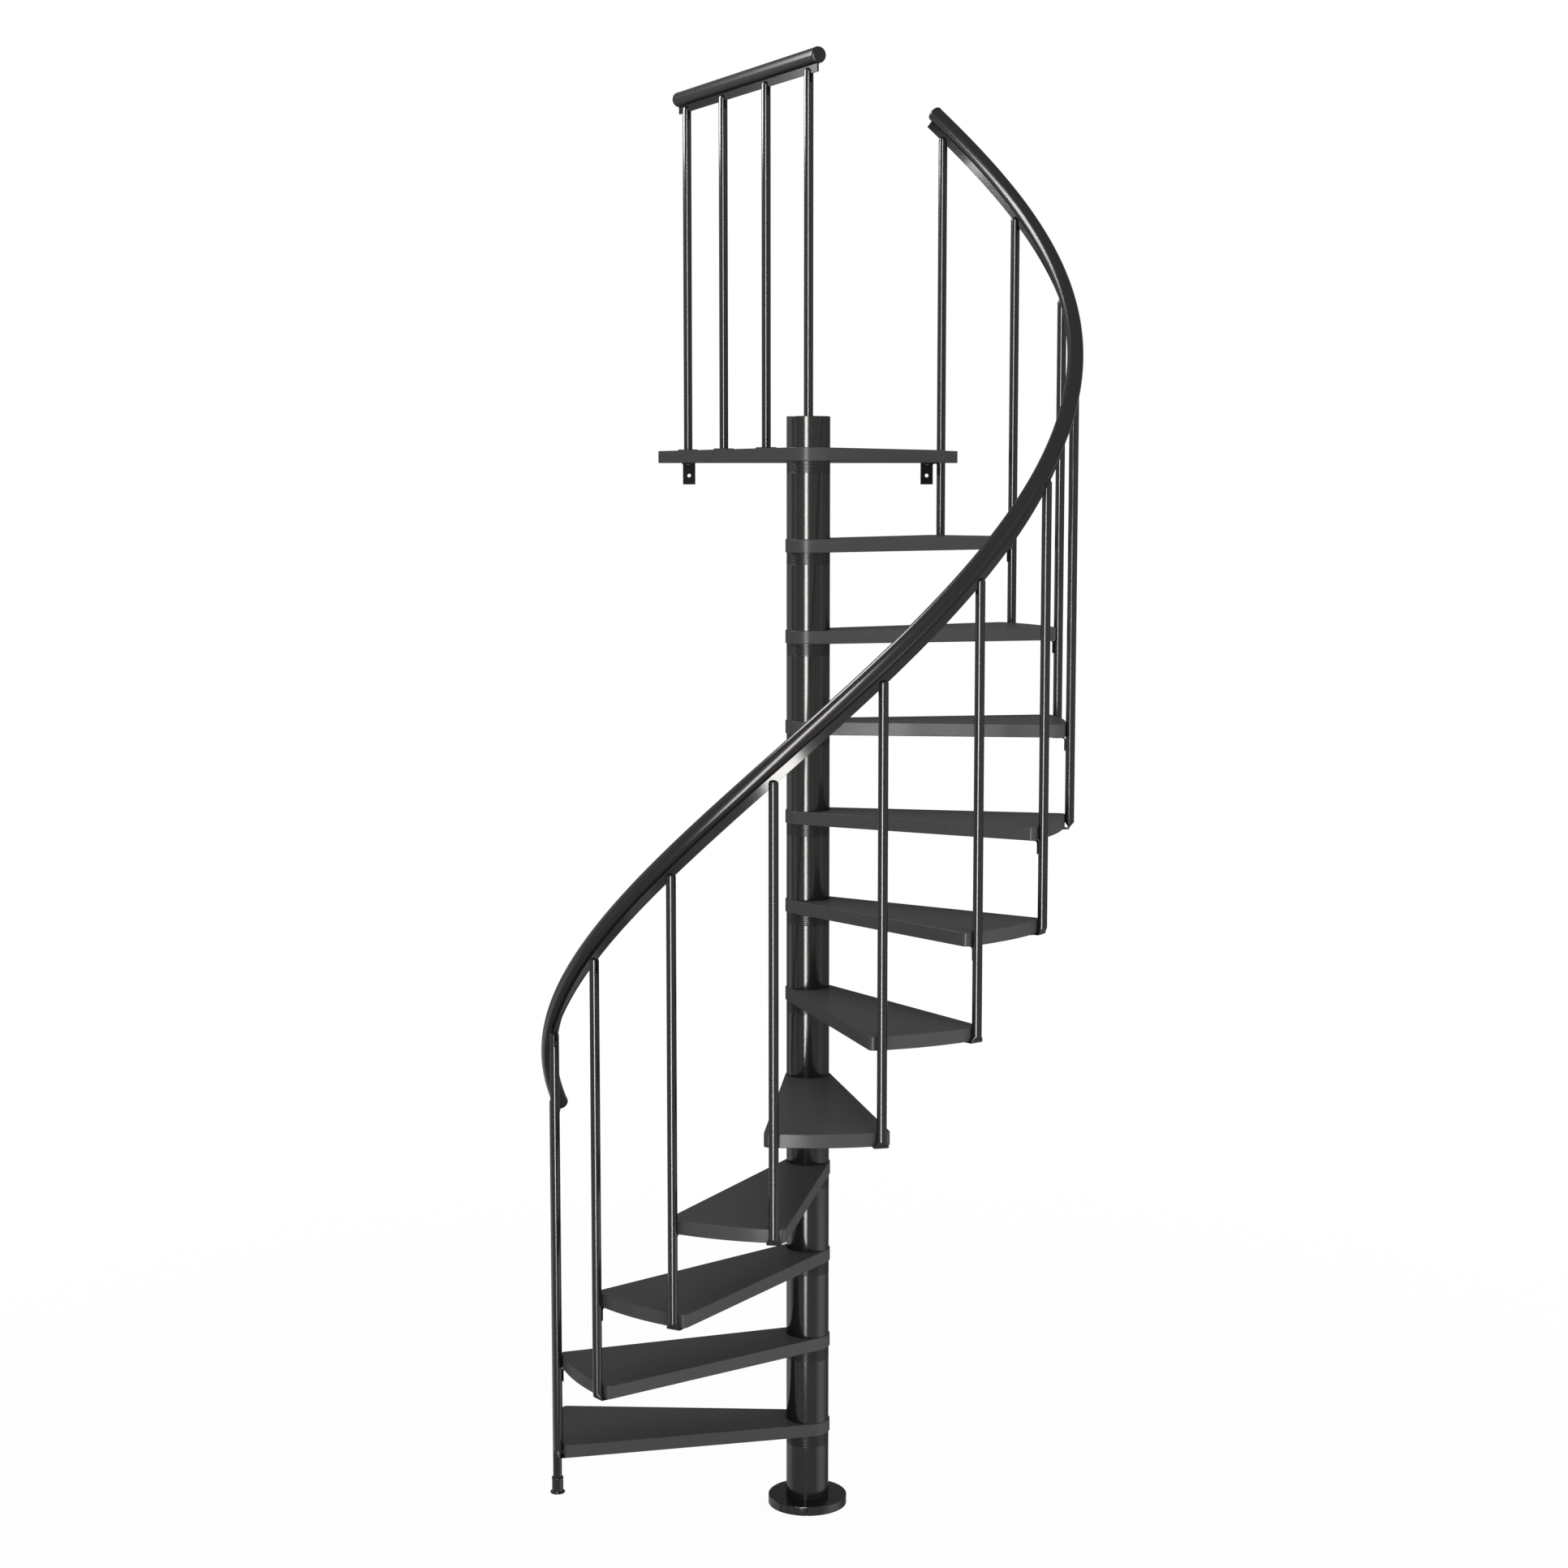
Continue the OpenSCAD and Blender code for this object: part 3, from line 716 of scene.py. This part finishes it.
@dataclass
class Balusters(SubAssembly):
    """Slotted balusters of the stair and of the landing, with their feet and collars."""

    dome: float = 9 * MM
    slot_w: float = 6 * MM
    slot_depth: float = 36.9 * MM
    prong_root: float = 3 * MM
    prong_tip: float = 0.4 * MM
    foot_half_w: float = 18 * MM
    foot_taper: float = 15 * MM
    foot_tab: float = 38 * MM
    foot_bend: float = 3.5 * MM
    foot_squareness: float = 7.0
    foot_ease: float = 0.35
    cup_r: float = 15.3 * MM
    cup_lip_h: float = 5 * MM
    cup_fillet: float = 1.5 * MM
    cup_roll: float = 1.6 * MM
    cup_flare: float = 0.7 * MM
    cup_sides: int = 64
    sides: int = 40
    landing_count: int = 4

    def build(self) -> None:
        """Builds and dresses every baluster."""
        plan = self.plan
        for k in range(plan.tread_count + 1):
            turn = plan.baluster_angle(k)
            foot = self.foot_rings(plan.tread_under(k)) if k else self.round_ring(plan.baluster_low[2])
            place = polar(plan.circle_r, turn)
            self.post(f"baluster_tube_{k:02d}", foot, plan.baluster_top(k), turn, place, f"baluster_{k:02d}")
        for k in range(1, self.landing_count + 1):
            node = f"landing_baluster_{k}"
            low, high = box_corners(node)
            turn, place = plan.landing_direction + np.pi / 2, ((low + high) / 2)[:2]
            self.post(f"landing_tube_{k}", self.round_ring(low[2]), high[2], turn, place, node)
        self.floor_cup()
        self.keep_solid("landing_rosettes", Slot.PLASTIC)

    def floor_cup(self) -> None:
        """Builds the cup under the first baluster: a sleeve with a rolled rim and a rounded lip on the floor."""
        low, high = box_corners("floor_foot")
        lip_r, bore, sleeve, roll = (high[0] - low[0]) / 2, self.plan.baluster_r, self.cup_r, self.cup_roll
        lip, fillet = self.cup_lip_h / 2, self.cup_fillet
        profile = np.concatenate([
            [[bore, 0.0]],
            arc((lip_r - lip, lip), lip, -np.pi / 2, np.pi / 2, 13),
            arc((sleeve + fillet, 2 * lip + fillet), -fillet, np.pi / 2, 0, 6),
            [[sleeve, high[2] - 2 * roll - fillet]],
            arc((sleeve + self.cup_flare - roll, high[2] - roll), roll, -np.pi / 3, np.pi / 2, 9),
            [[bore, high[2]]],
        ])
        surface = Surface()
        surface.ring(profile, self.cup_sides, (*((low + high) / 2)[:2], 0))
        self.keep(surface.build("floor_cup"), Slot.PLASTIC, "floor_foot", finish=self.finishes.steel)

    def post(self, name: str, foot: Array, top: float, turn: float, place: Array, node: str) -> None:
        """Builds a slotted tube.

        Args:
            name: Name of the piece.
            foot: Rings of its lower end, about the Z axis.
            top: Height of its upper end.
            turn: Direction square to its slot.
            place: Its axis.
            node: Solid that the piece stands for.
        """
        slot_z = top - self.slot_depth
        surface = Surface()
        surface.rod(np.concatenate([foot, self.round_ring(slot_z)]))
        for side in (1, -1):
            surface.rod(self.prong_rings(slot_z - self.prong_root, top) * (side, side, 1))
        surface.points = [placed(points, turn, (*place, 0)) for points in surface.points]
        self.keep(surface.build(name), Slot.STEEL, node)

    def round_ring(self, height: float) -> Array:
        """Level circle of the tube's radius at a height."""
        return revolve(np.array([[self.plan.baluster_r, height]]), self.sides)

    def foot_rings(self, under: float) -> Array:
        """Rings of the pressed foot, from the tip of its tab up to the round tube.

        A ring is a superellipse, x = d |cos t|^(2/n) and y = w |sin t|^(2/n) with the signs of cos t and sin t. Its
        half sizes d and w and its power n run from the round tube to the flat foot down the taper. Its plane then
        turns round the bend and runs along the tab.

        Args:
            under: Height of the tread's underside.

        Returns:
            Array of shape (rings, sides, 3).
        """
        r, half_t, bend = self.plan.baluster_r, self.plan.foot_t / 2, self.foot_bend
        middle = under - half_t
        lean = np.linspace(-np.pi / 2, 0, 7)
        press = np.linspace(1, 0, 11)
        taper_z = np.linspace(middle + bend, under + self.foot_taper, len(press))
        centre = np.concatenate([
            [[-self.foot_tab, middle], [-self.foot_tab / 2, middle]],
            arc((-bend, middle + bend), bend, -np.pi / 2, 0, len(lean)),
            np.stack([np.zeros(len(press) - 1), taper_z[1:]], axis=-1),
        ])
        angle = np.concatenate([[-np.pi / 2] * 2, lean, np.zeros(len(press) - 1)])
        flat = np.concatenate([np.ones(2 + len(lean)), press[1:]])
        eased = flat * flat * (3 - 2 * flat) * self.foot_ease + flat * (1 - self.foot_ease)
        depth = r + (half_t - r) * eased
        width = r + (self.foot_half_w - r) * eased
        power = 2 / (2 + (self.foot_squareness - 2) * flat**2)
        t = np.arange(self.sides) * 2 * np.pi / self.sides
        x = depth[:, None] * np.sign(np.cos(t)) * np.abs(np.cos(t)) ** power[:, None]
        y = width[:, None] * np.sign(np.sin(t)) * np.abs(np.sin(t)) ** power[:, None]
        out = np.stack([np.cos(angle), np.sin(angle)], axis=-1)
        return np.stack([centre[:, :1] + x * out[:, :1], y, centre[:, 1:] + x * out[:, 1:]], axis=-1)

    def prong_rings(self, low: float, top: float) -> Array:
        """Rings of one prong beside the slot: a round cut off by a chord, which shrinks over the domed end.

        The chord lies half a slot from the axis. The round's radius is r - e (1 - cos b) at the height
        top - e (1 - sin b).

        Args:
            low: Height of the lower end.
            top: Height of the upper end.

        Returns:
            Array of shape (rings, points, 3).
        """
        r, half = self.plan.baluster_r, self.slot_w / 2
        least = half + self.prong_tip
        last = math.acos(1 - (r - least) / self.dome)
        lean = np.linspace(0, last, 7)
        radius = np.concatenate([[r], r - self.dome * (1 - np.cos(lean))])
        height = np.concatenate([[low], top - self.dome * (1 - np.sin(lean))])
        open_angle = np.arccos(half / radius)[:, None]
        t = np.linspace(-1, 1, 21)[None] * open_angle
        x, y = radius[:, None] * np.cos(t), radius[:, None] * np.sin(t)
        return np.stack([x, y, np.broadcast_to(height[:, None], x.shape)], axis=-1)


@dataclass
class Rails(SubAssembly):
    """Grooved handrails with lids on their ends, and the flat bars that hang in their grooves."""

    rail_r: float = 20.4 * MM
    clear: float = 2 * MM
    landing_clear: float = 4 * MM
    groove_w: float = 6 * MM
    groove_depth: float = 9 * MM
    bar_t: float = 5 * MM
    bar_drop: float = 20 * MM
    bar_gap: float = 0.5 * MM
    bar_edge: float = 0.5 * MM
    lower_over: float = 106 * MM
    upper_over: float = 42.5 * MM
    bar_setback: float = 14 * MM
    lid_r: float = 20.8 * MM
    lid_l: float = 3 * MM
    lid_wall: float = 2 * MM
    lid_edge: float = 7 * MM
    lid_lean: float = math.radians(74)
    lid_pole: float = 0.01
    near_over: float = 62 * MM
    far_over: float = 60 * MM
    landing_bar_near: float = 52 * MM
    landing_bar_far: float = 50 * MM
    sides: int = 56
    rings_per_step: int = 24

    def build(self) -> None:
        """Builds and dresses the rails and their bars."""
        plan = self.plan
        per_radian = plan.circle_r / math.cos(plan.slope)
        start = plan.baluster_angle(0) - self.lower_over / per_radian
        end = plan.baluster_angle(plan.tread_count) + self.upper_over / per_radian
        cap, count = self.cap_length, self.rings_per_step * (plan.tread_count + 1)
        helices = (np.linspace(start + cap / per_radian, end - cap / per_radian, count),
                   np.linspace(start, end - self.bar_setback / per_radian, count))
        span = float(np.hypot(*(box_middle("landing_baluster_4") - box_middle("landing_baluster_1"))[:2]))
        lines = (np.array([cap - self.near_over, span + self.far_over - cap]),
                 np.array([-self.landing_bar_near, span + self.landing_bar_far]))
        for name, node, path, reaches in (("handrail", "handrail", self.helix, helices),
                                          ("landing", "landing_rail", self.line, lines)):
            grip, bar = (path(reach) for reach in reaches)
            self.rail(f"{name}_grip", grip, node)
            surface = Surface()
            surface.rod(self.carried(self.bar_section(), bar))
            self.keep(surface.build(f"{name}_flat_bar"), Slot.STEEL, f"{name}_bar")

    @property
    def cap_length(self) -> float:
        """Length of a lid's rounded end along the rail."""
        return float(self.cap_profile()[-1, 1])

    def cap_profile(self) -> Array:
        """Profile of a lid as (radius, distance along the rail).

        From the short sleeve that fits over the rail, a round edge leans in to lid_lean, and a sphere goes on from it
        to the flat pole.

        Returns:
            Array of shape (n, 2).
        """
        sleeve = [[self.rail_r - self.lid_wall, -self.lid_l], [self.lid_r, -self.lid_l]]
        edge = arc((self.lid_r - self.lid_edge, 0), self.lid_edge, 0, self.lid_lean, 9)
        ball = edge[-1, 0] / math.cos(self.lid_lean)
        centre = edge[-1, 1] - ball * math.sin(self.lid_lean)
        dome = arc((0, centre), ball, self.lid_lean, np.pi / 2 - self.lid_pole, 8)
        return np.concatenate([sleeve, edge, dome[1:]])

    def helix(self, angle: Array) -> Array:
        """Frames along the helix over the balusters' tops.

        The middle line is (R cos a, R sin a, h), with h rising by one step for each step angle. Out points away from
        the column, up stands square to the slope, and ahead follows it.

        Args:
            angle: Angles about the column.

        Returns:
            Array of shape (n, 4, 3) with the place, out, up and ahead of each frame.
        """
        plan = self.plan
        slope, zero = plan.slope, np.zeros_like(angle)
        lift = self.rail_r / math.cos(slope) + plan.baluster_r * math.tan(slope) + self.clear
        height = plan.baluster_top(0) + lift + plan.rise * (angle - plan.baluster_angle(0)) / plan.step_angle
        c, s = np.cos(angle), np.sin(angle)
        place = np.stack([plan.circle_r * c, plan.circle_r * s, height], axis=-1)
        out = np.stack([c, s, zero], axis=-1)
        up = np.stack([s * math.sin(slope), -c * math.sin(slope), zero + math.cos(slope)], axis=-1)
        ahead = np.stack([-s * math.cos(slope), c * math.cos(slope), zero + math.sin(slope)], axis=-1)
        return np.stack([place, out, up, ahead], axis=1)

    def line(self, along: Array) -> Array:
        """Frames along the level landing rail, from the column's axis outwards.

        Args:
            along: Distances from the axis.

        Returns:
            Array of shape (n, 4, 3) with the place, out, up and ahead of each frame.
        """
        turn = self.plan.landing_direction
        ahead = np.array([math.cos(turn), math.sin(turn), 0.0])
        out = np.array([math.sin(turn), -math.cos(turn), 0.0])
        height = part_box("landing_baluster_1")[1].z + self.rail_r + self.landing_clear
        place = along[:, None] * ahead + (0, 0, height)
        rest = np.broadcast_to(np.stack([out, (0, 0, 1), ahead]), (len(along), 3, 3))
        return np.concatenate([place[:, None], rest], axis=1)

    @staticmethod
    def carried(section: Array, frames: Array) -> Array:
        """Carries a section of (out, up) points along frames: place + x out + y up.

        Args:
            section: Array of shape (n, 2).
            frames: Array of shape (rings, 4, 3).

        Returns:
            Array of shape (rings, n, 3).
        """
        place, out, up = frames[:, None, 0], frames[:, None, 1], frames[:, None, 2]
        return place + section[None, :, :1] * out + section[None, :, 1:] * up

    def rail_section(self) -> Array:
        """Round section with a groove that opens downwards, clockwise as (out, up) points."""
        half, floor = self.groove_w / 2, self.rail_r - self.groove_depth
        mouth = math.asin(half / self.rail_r)
        around = arc((0, 0), self.rail_r, -np.pi / 2 + mouth, 3 * np.pi / 2 - mouth, self.sides)
        return np.concatenate([[[-half, -floor], [half, -floor]], around])[::-1]

    def bar_section(self) -> Array:
        """Flat section with eased edges below the rail, clockwise as (out, up) points."""
        half, low = self.bar_t / 2, -self.rail_r - self.bar_drop
        return eased_section((-half, low), (half, -self.rail_r + self.groove_depth - self.bar_gap), self.bar_edge)

    def rail(self, name: str, frames: Array, node: str) -> None:
        """Builds a rail: the grooved section along the frames, and a lid on each end frame.

        Args:
            name: Name of the piece.
            frames: Frames of the rail's body, without the rounded ends of its lids.
            node: Solid that the piece stands for.
        """
        surface = Surface()
        surface.rod(self.carried(self.rail_section(), frames))
        profile = self.cap_profile()
        t = np.arange(self.sides) * 2 * np.pi / self.sides
        for end, way in ((frames[0], -1), (frames[-1], 1)):
            ring = np.cos(t)[:, None] * end[1] - way * np.sin(t)[:, None] * end[2]
            surface.rod(end[0] + profile[:, :1, None] * ring[None] + way * profile[:, 1:, None] * end[3])
        self.keep(surface.build(name), Slot.RAIL, node)


@dataclass
class Fixings(SubAssembly):
    """Brackets, and the screws that hold boards, brackets and balusters together."""

    bracket_bevel: float = 0.6 * MM
    screw_r: float = 5 * MM
    screw_h: float = 2.4 * MM
    screw_lean: float = 1.05
    screw_root: float = 0.5 * MM
    screw_sides: int = 24
    socket_width: float = 0.42
    socket_floor: float = 0.4
    foot_screw_spacing: float = 18 * MM
    foot_screw_inset: float = 27 * MM
    tie_screw_r: float = 3.4 * MM
    tie_screw_h: float = 0.7 * MM
    tie_screw_place: float = 0.65
    tie_t: float = 3 * MM
    tie_w: float = 10 * MM
    tie_h: float = 35 * MM
    tie_l: float = 34 * MM
    tie_bend: float = 9 * MM
    tie_edge: float = 0.7 * MM
    wall_w: float = 35 * MM
    wall_t: float = 4 * MM

    def build(self) -> None:
        """Builds and dresses the fixings."""
        plan, last = self.plan, self.plan.tread_count
        self.keep_solid("wall_brackets", Slot.STEEL, self.bracket_bevel, self.finishes.bracket)
        self.ties("tread_ties", range(last), "tread_brackets")
        self.ties("platform_tie_strip", range(last, last + 1), "platform_tie")
        feet, ties, half = np.arange(1, last + 1), np.arange(last + 1), self.foot_screw_spacing / 2
        foot_places = self.places(feet, plan.circle_r - self.foot_screw_inset, plan.tread_under(feet) - plan.foot_t,
                                  (-half, half))
        tie_places = self.places(ties, plan.tread_r - self.tie_screw_place * self.tie_l,
                                 plan.tread_under(ties + 1) - self.tie_t)
        self.screws("foot_screws", foot_places, self.screw_r, self.screw_h)
        self.screws("bracket_screws", tie_places, self.tie_screw_r, self.tie_screw_h)
        self.screws("wall_screws", self.wall_places(), self.screw_r, self.screw_h)

    def ties(self, name: str, balusters: range, node: str) -> None:
        """Builds the bent strips that tie balusters to the step above, as one piece.

        Args:
            name: Name of the piece.
            balusters: Numbers of the balusters.
            node: Solid that the piece stands for.
        """
        surface = Surface()
        for k in balusters:
            height = self.plan.tread_under(k + 1)
            surface.rod(placed(self.tie_rings(), self.plan.baluster_angle(k), (0, 0, height)))
        self.keep(surface.build(name), Slot.STEEL, node, finish=self.finishes.bracket)

    def tie_rings(self) -> Array:
        """Rings of a strip along the +X axis, from the tip of its level leg, round the bend and down its upright leg.

        A ring is a flat section with eased edges, p + a n + b y. Its middle p follows the strip, n is square to the
        strip and turns by a quarter in the bend, and y is the +Y direction.

        Returns:
            Array of shape (rings, points, 3), with the underside of the step at the height 0.
        """
        outer, half_t, half_w, bend = self.plan.tread_r, self.tie_t / 2, self.tie_w / 2, self.tie_bend
        turn = np.linspace(np.pi / 2, 0, 9)
        middle = np.concatenate([
            [[outer - self.tie_l, -half_t]],
            arc((outer - bend, -bend), bend - half_t, turn[0], turn[-1], len(turn)),
            [[outer - half_t, -self.tie_h]],
        ])
        lean = np.concatenate([turn[:1], turn, turn[-1:]])
        section = eased_section((-half_t, -half_w), (half_t, half_w), self.tie_edge)
        out = np.stack([np.cos(lean), np.sin(lean)], axis=-1)
        flat = middle[:, None] + section[None, :, :1] * out[:, None]
        across = np.broadcast_to(section[:, 1], flat.shape[:2])
        return np.stack([flat[..., 0], across, flat[..., 1]], axis=-1)

    def places(self, k: Array, inner: float, height: Array, sideways: Sequence[float] = (0.0,)) -> Array:
        """Places under the steps, in the directions of balusters.

        Args:
            k: Numbers of the balusters.
            inner: Distance from the column's axis.
            height: Height of the places of each baluster.
            sideways: Distances square to that direction, one for each place.

        Returns:
            Array of shape (n, 3).
        """
        turn, side = self.plan.baluster_angle(k)[:, None], np.asarray(sideways)
        x = inner * np.cos(turn) - side * np.sin(turn)
        y = inner * np.sin(turn) + side * np.cos(turn)
        return np.stack([x, y, np.broadcast_to(height[:, None], x.shape)], axis=-1).reshape(-1, 3)

    def wall_places(self) -> Array:
        """Places under the middle of each wall bracket's level leg.

        Returns:
            Array of shape (2, 3).
        """
        low, high = box_corners("wall_brackets")
        x = self.wall_w / 2 * np.array([1.0, -1.0]) + (low[0], high[0])
        y, z = (low[1] + high[1]) / 2, high[2] - self.wall_t
        return np.stack([x, np.full(2, y), np.full(2, z)], axis=-1)

    def screws(self, name: str, places: Array, r: float, h: float) -> None:
        """Builds button heads with a hexagonal socket, which hang down from the given places, as one piece.

        A head is a revolved dome. Its socket's radius at the angle t is that of a hexagon,
        s cos 30 / cos(t mod 60 - 30).

        Args:
            name: Name of the piece.
            places: Points on the seat, of shape (n, 3).
            r: Radius of a head.
            h: Height of a head.
        """
        lean, socket = np.linspace(0.0, self.screw_lean, 6), self.socket_width * r
        dome = np.stack([r * np.cos(lean), h * np.sin(lean) / math.sin(self.screw_lean)], axis=-1)
        profile = np.concatenate([[[r, -self.screw_root]], dome, [[socket, h], [socket, self.socket_floor * h]]])
        rings = revolve(profile, self.screw_sides)
        t = np.arange(self.screw_sides) * 2 * np.pi / self.screw_sides
        hexagon = math.cos(np.pi / 6) / np.cos(t % (np.pi / 3) - np.pi / 6)
        rings[-2:, :, :2] *= hexagon[:, None]
        surface = Surface()
        for place in places:
            surface.rod(rings * (1, -1, -1) + place)
        self.keep(surface.build(name), Slot.STEEL, finish=self.finishes.screw)


class LampUse(Enum):
    """What a lamp is there for."""

    GLOSS = "shows in reflections"
    MATT = "lights matt surfaces"


@dataclass(frozen=True)
class Softbox:
    """A rectangular studio lamp.

    The azimuth is measured about the column from the camera's side, to the right. The lamp faces the column, or looks
    along another azimuth where facing gives one. It looks level, or towards the height aim_z where that is given.
    """

    name: str
    azimuth: float
    distance: float
    height: float
    size: tuple[float, float]
    brightness: float
    colour: Colour = (1.0, 1.0, 1.0)
    use: LampUse = LampUse.GLOSS
    aim_z: float | None = None
    facing: float | None = None

    def build(self) -> None:
        """Adds the lamp; its power is the brightness of its face times pi and its area."""
        lamp = bpy.data.lights.new(self.name, "AREA")
        lamp.shape = "RECTANGLE"
        lamp.size, lamp.size_y = self.size
        lamp.energy = self.brightness * math.pi * self.size[0] * self.size[1]
        lamp.color = self.colour
        holder = linked(self.name, lamp)
        turn = math.radians(self.azimuth)
        fall = 0.0 if self.aim_z is None else math.atan2(self.height - self.aim_z, self.distance)
        holder.location = (self.distance * math.sin(turn), -self.distance * math.cos(turn), self.height)
        holder.rotation_euler = (math.pi / 2 - fall, 0.0, turn if self.facing is None else math.radians(self.facing))
        holder.visible_camera = False
        holder.visible_diffuse = self.use is LampUse.MATT
        holder.visible_glossy = self.use is LampUse.GLOSS


@dataclass(frozen=True)
class Studio:
    """White floor, white surroundings, soft lamps and the camera."""

    camera_place: tuple[float, float, float] = (-0.01446, -6.88157, 2.7036)
    camera_turn: tuple[float, float, float] = (math.radians(83.586), 0.0, math.radians(0.4))
    lens_mm: float = 61.293
    sensor_mm: float = 36.0
    floor_half: float = 60.0
    floor_tone: float = 0.9
    floor_shade: float = 0.03
    floor_near: float = 1.5
    floor_far: float = 4.0
    fill: float = 0.55
    lamps: tuple[Softbox, ...] = (
        Softbox("key_panel", -11.1, 3.83, 2.1, (0.88, 4.6), 47.0),
        Softbox("key_skirt", -11.1, 3.83, -0.5, (0.88, 0.6), 20.0),
        Softbox("front_light", 26.0, 6.0, 2.0, (3.0, 4.0), 4.1, use=LampUse.MATT, aim_z=1.9),
        Softbox("left_panel", -43.0, 5.0, 1.8, (1.0, 7.0), 0.3, (0.9, 0.95, 1.0)),
        Softbox("left_window", -73.0, 5.0, 1.8, (1.15, 7.0), 1.0, (0.9, 0.95, 1.0)),
        Softbox("left_rear_window", -115.0, 5.0, 1.8, (2.8, 7.0), 2.2, (0.97, 0.98, 1.0)),
        Softbox("right_window", 72.0, 5.0, 1.8, (1.8, 7.0), 0.5, (1.0, 0.95, 0.9)),
        Softbox("upper_left_panel", -113.2, 1.77, 4.28, (1.18, 1.14), 65.0, aim_z=3.2, facing=-84.0),
        Softbox("left_rear_panel", -138.0, 5.0, 2.2, (2.0, 2.2), 1.5),
        Softbox("ceiling", 0.0, 1.5, 7.0, (5.0, 5.0), 1.28, use=LampUse.MATT, aim_z=-20.0),
        Softbox("low_right_panel", 85.0, 5.0, -1.9, (3.2, 3.0), 1.1, (1.0, 0.96, 0.92)),
        Softbox("low_right_wall", 85.0, 5.1, -1.9, (7.2, 3.0), 1.1, (1.0, 0.96, 0.92)),
        Softbox("low_left_panel", -130.0, 5.0, -1.9, (2.4, 3.0), 1.5),
        Softbox("low_left_wall", -120.0, 5.1, -1.9, (6.0, 3.0), 1.5),
    )

    def build(self) -> None:
        """Builds the stage."""
        bpy.context.scene.view_settings.view_transform = "Standard"
        self.floor()
        self.surroundings()
        for lamp in self.lamps:
            lamp.build()
        self.camera()

    @staticmethod
    def seen(sheet: NodeSheet) -> bpy.types.NodeSocket:
        """Tells the rays that show the surroundings from those that only carry light.

        Args:
            sheet: Nodes of a material or world.

        Returns:
            Socket that is 1 for rays that come from the camera, a reflection or clear matter.
        """
        path = sheet.add("ShaderNodeLightPath").outputs
        either = sheet.math("MAXIMUM", path["Is Camera Ray"], path["Is Glossy Ray"])
        return sheet.math("MAXIMUM", either, path["Is Transmission Ray"])

    def floor(self) -> None:
        """Adds a large pale floor, white to the camera like the surroundings, with a soft shadow near the stair."""
        half = self.floor_half
        corners = np.array([[-half, -half, 0], [half, -half, 0], [half, half, 0], [-half, half, 0]])
        mesh = bpy.data.meshes.new("floor")
        mesh.from_pydata(corners.tolist(), [], [[0, 1, 2, 3]])
        floor = linked("floor", mesh)
        material = bpy.data.materials.new("white_floor")
        material.use_nodes = True
        sheet = NodeSheet(material.node_tree)
        glow = sheet.add("ShaderNodeEmission", Color=WHITE, Strength=1.0)
        matt = sheet.add("ShaderNodeBsdfDiffuse", Color=(self.floor_tone,) * 3 + (1.0,))
        place = sheet.add("ShaderNodeTexCoord").outputs["Object"]
        away = sheet.add("ShaderNodeVectorMath", {"operation": "LENGTH"}, Vector=place).outputs["Value"]
        white = sheet.add("ShaderNodeMapRange", Value=away, From_Min=self.floor_near, From_Max=self.floor_far,
                          To_Min=1.0 - self.floor_shade, To_Max=1.0)
        share = sheet.math("MULTIPLY", self.seen(sheet), white.outputs["Result"])
        mixed = sheet.add("ShaderNodeMixShader", None, share, matt.outputs[0], glow.outputs[0])
        sheet.add("ShaderNodeOutputMaterial", Surface=mixed.outputs[0])
        mesh.materials.append(material)
        floor.visible_glossy = False

    def surroundings(self) -> None:
        """Sets the world: white to the camera and in reflections, and a soft fill light for the rest."""
        world = bpy.data.worlds.new("studio")
        bpy.context.scene.world = world
        world.use_nodes = True
        sheet = NodeSheet(world.node_tree)
        fill = sheet.add("ShaderNodeBackground", Color=WHITE, Strength=self.fill)
        white = sheet.add("ShaderNodeBackground", Color=WHITE, Strength=1.0)
        mixed = sheet.add("ShaderNodeMixShader", None, self.seen(sheet), fill.outputs[0], white.outputs[0])
        sheet.add("ShaderNodeOutputWorld", Surface=mixed.outputs[0])

    def camera(self) -> None:
        """Adds the camera at the photograph's place."""
        lens = bpy.data.cameras.new("camera")
        lens.lens = self.lens_mm
        lens.sensor_width = self.sensor_mm
        camera = linked("camera", lens)
        camera.location = self.camera_place
        camera.rotation_euler = self.camera_turn
        bpy.context.scene.camera = camera


def main() -> None:
    """Builds the stair's sub-assemblies in order, then the studio."""
    logging.basicConfig(level=logging.INFO, format="%(name)s: %(message)s")
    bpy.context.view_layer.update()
    plan, finishes = StairPlan(), Finishes()
    for kind in (Column, Boards, Balusters, Rails, Fixings):
        kind(plan, finishes).build()
    Studio().build()
    bpy.context.view_layer.update()


if __name__ == "__main__":
    main()
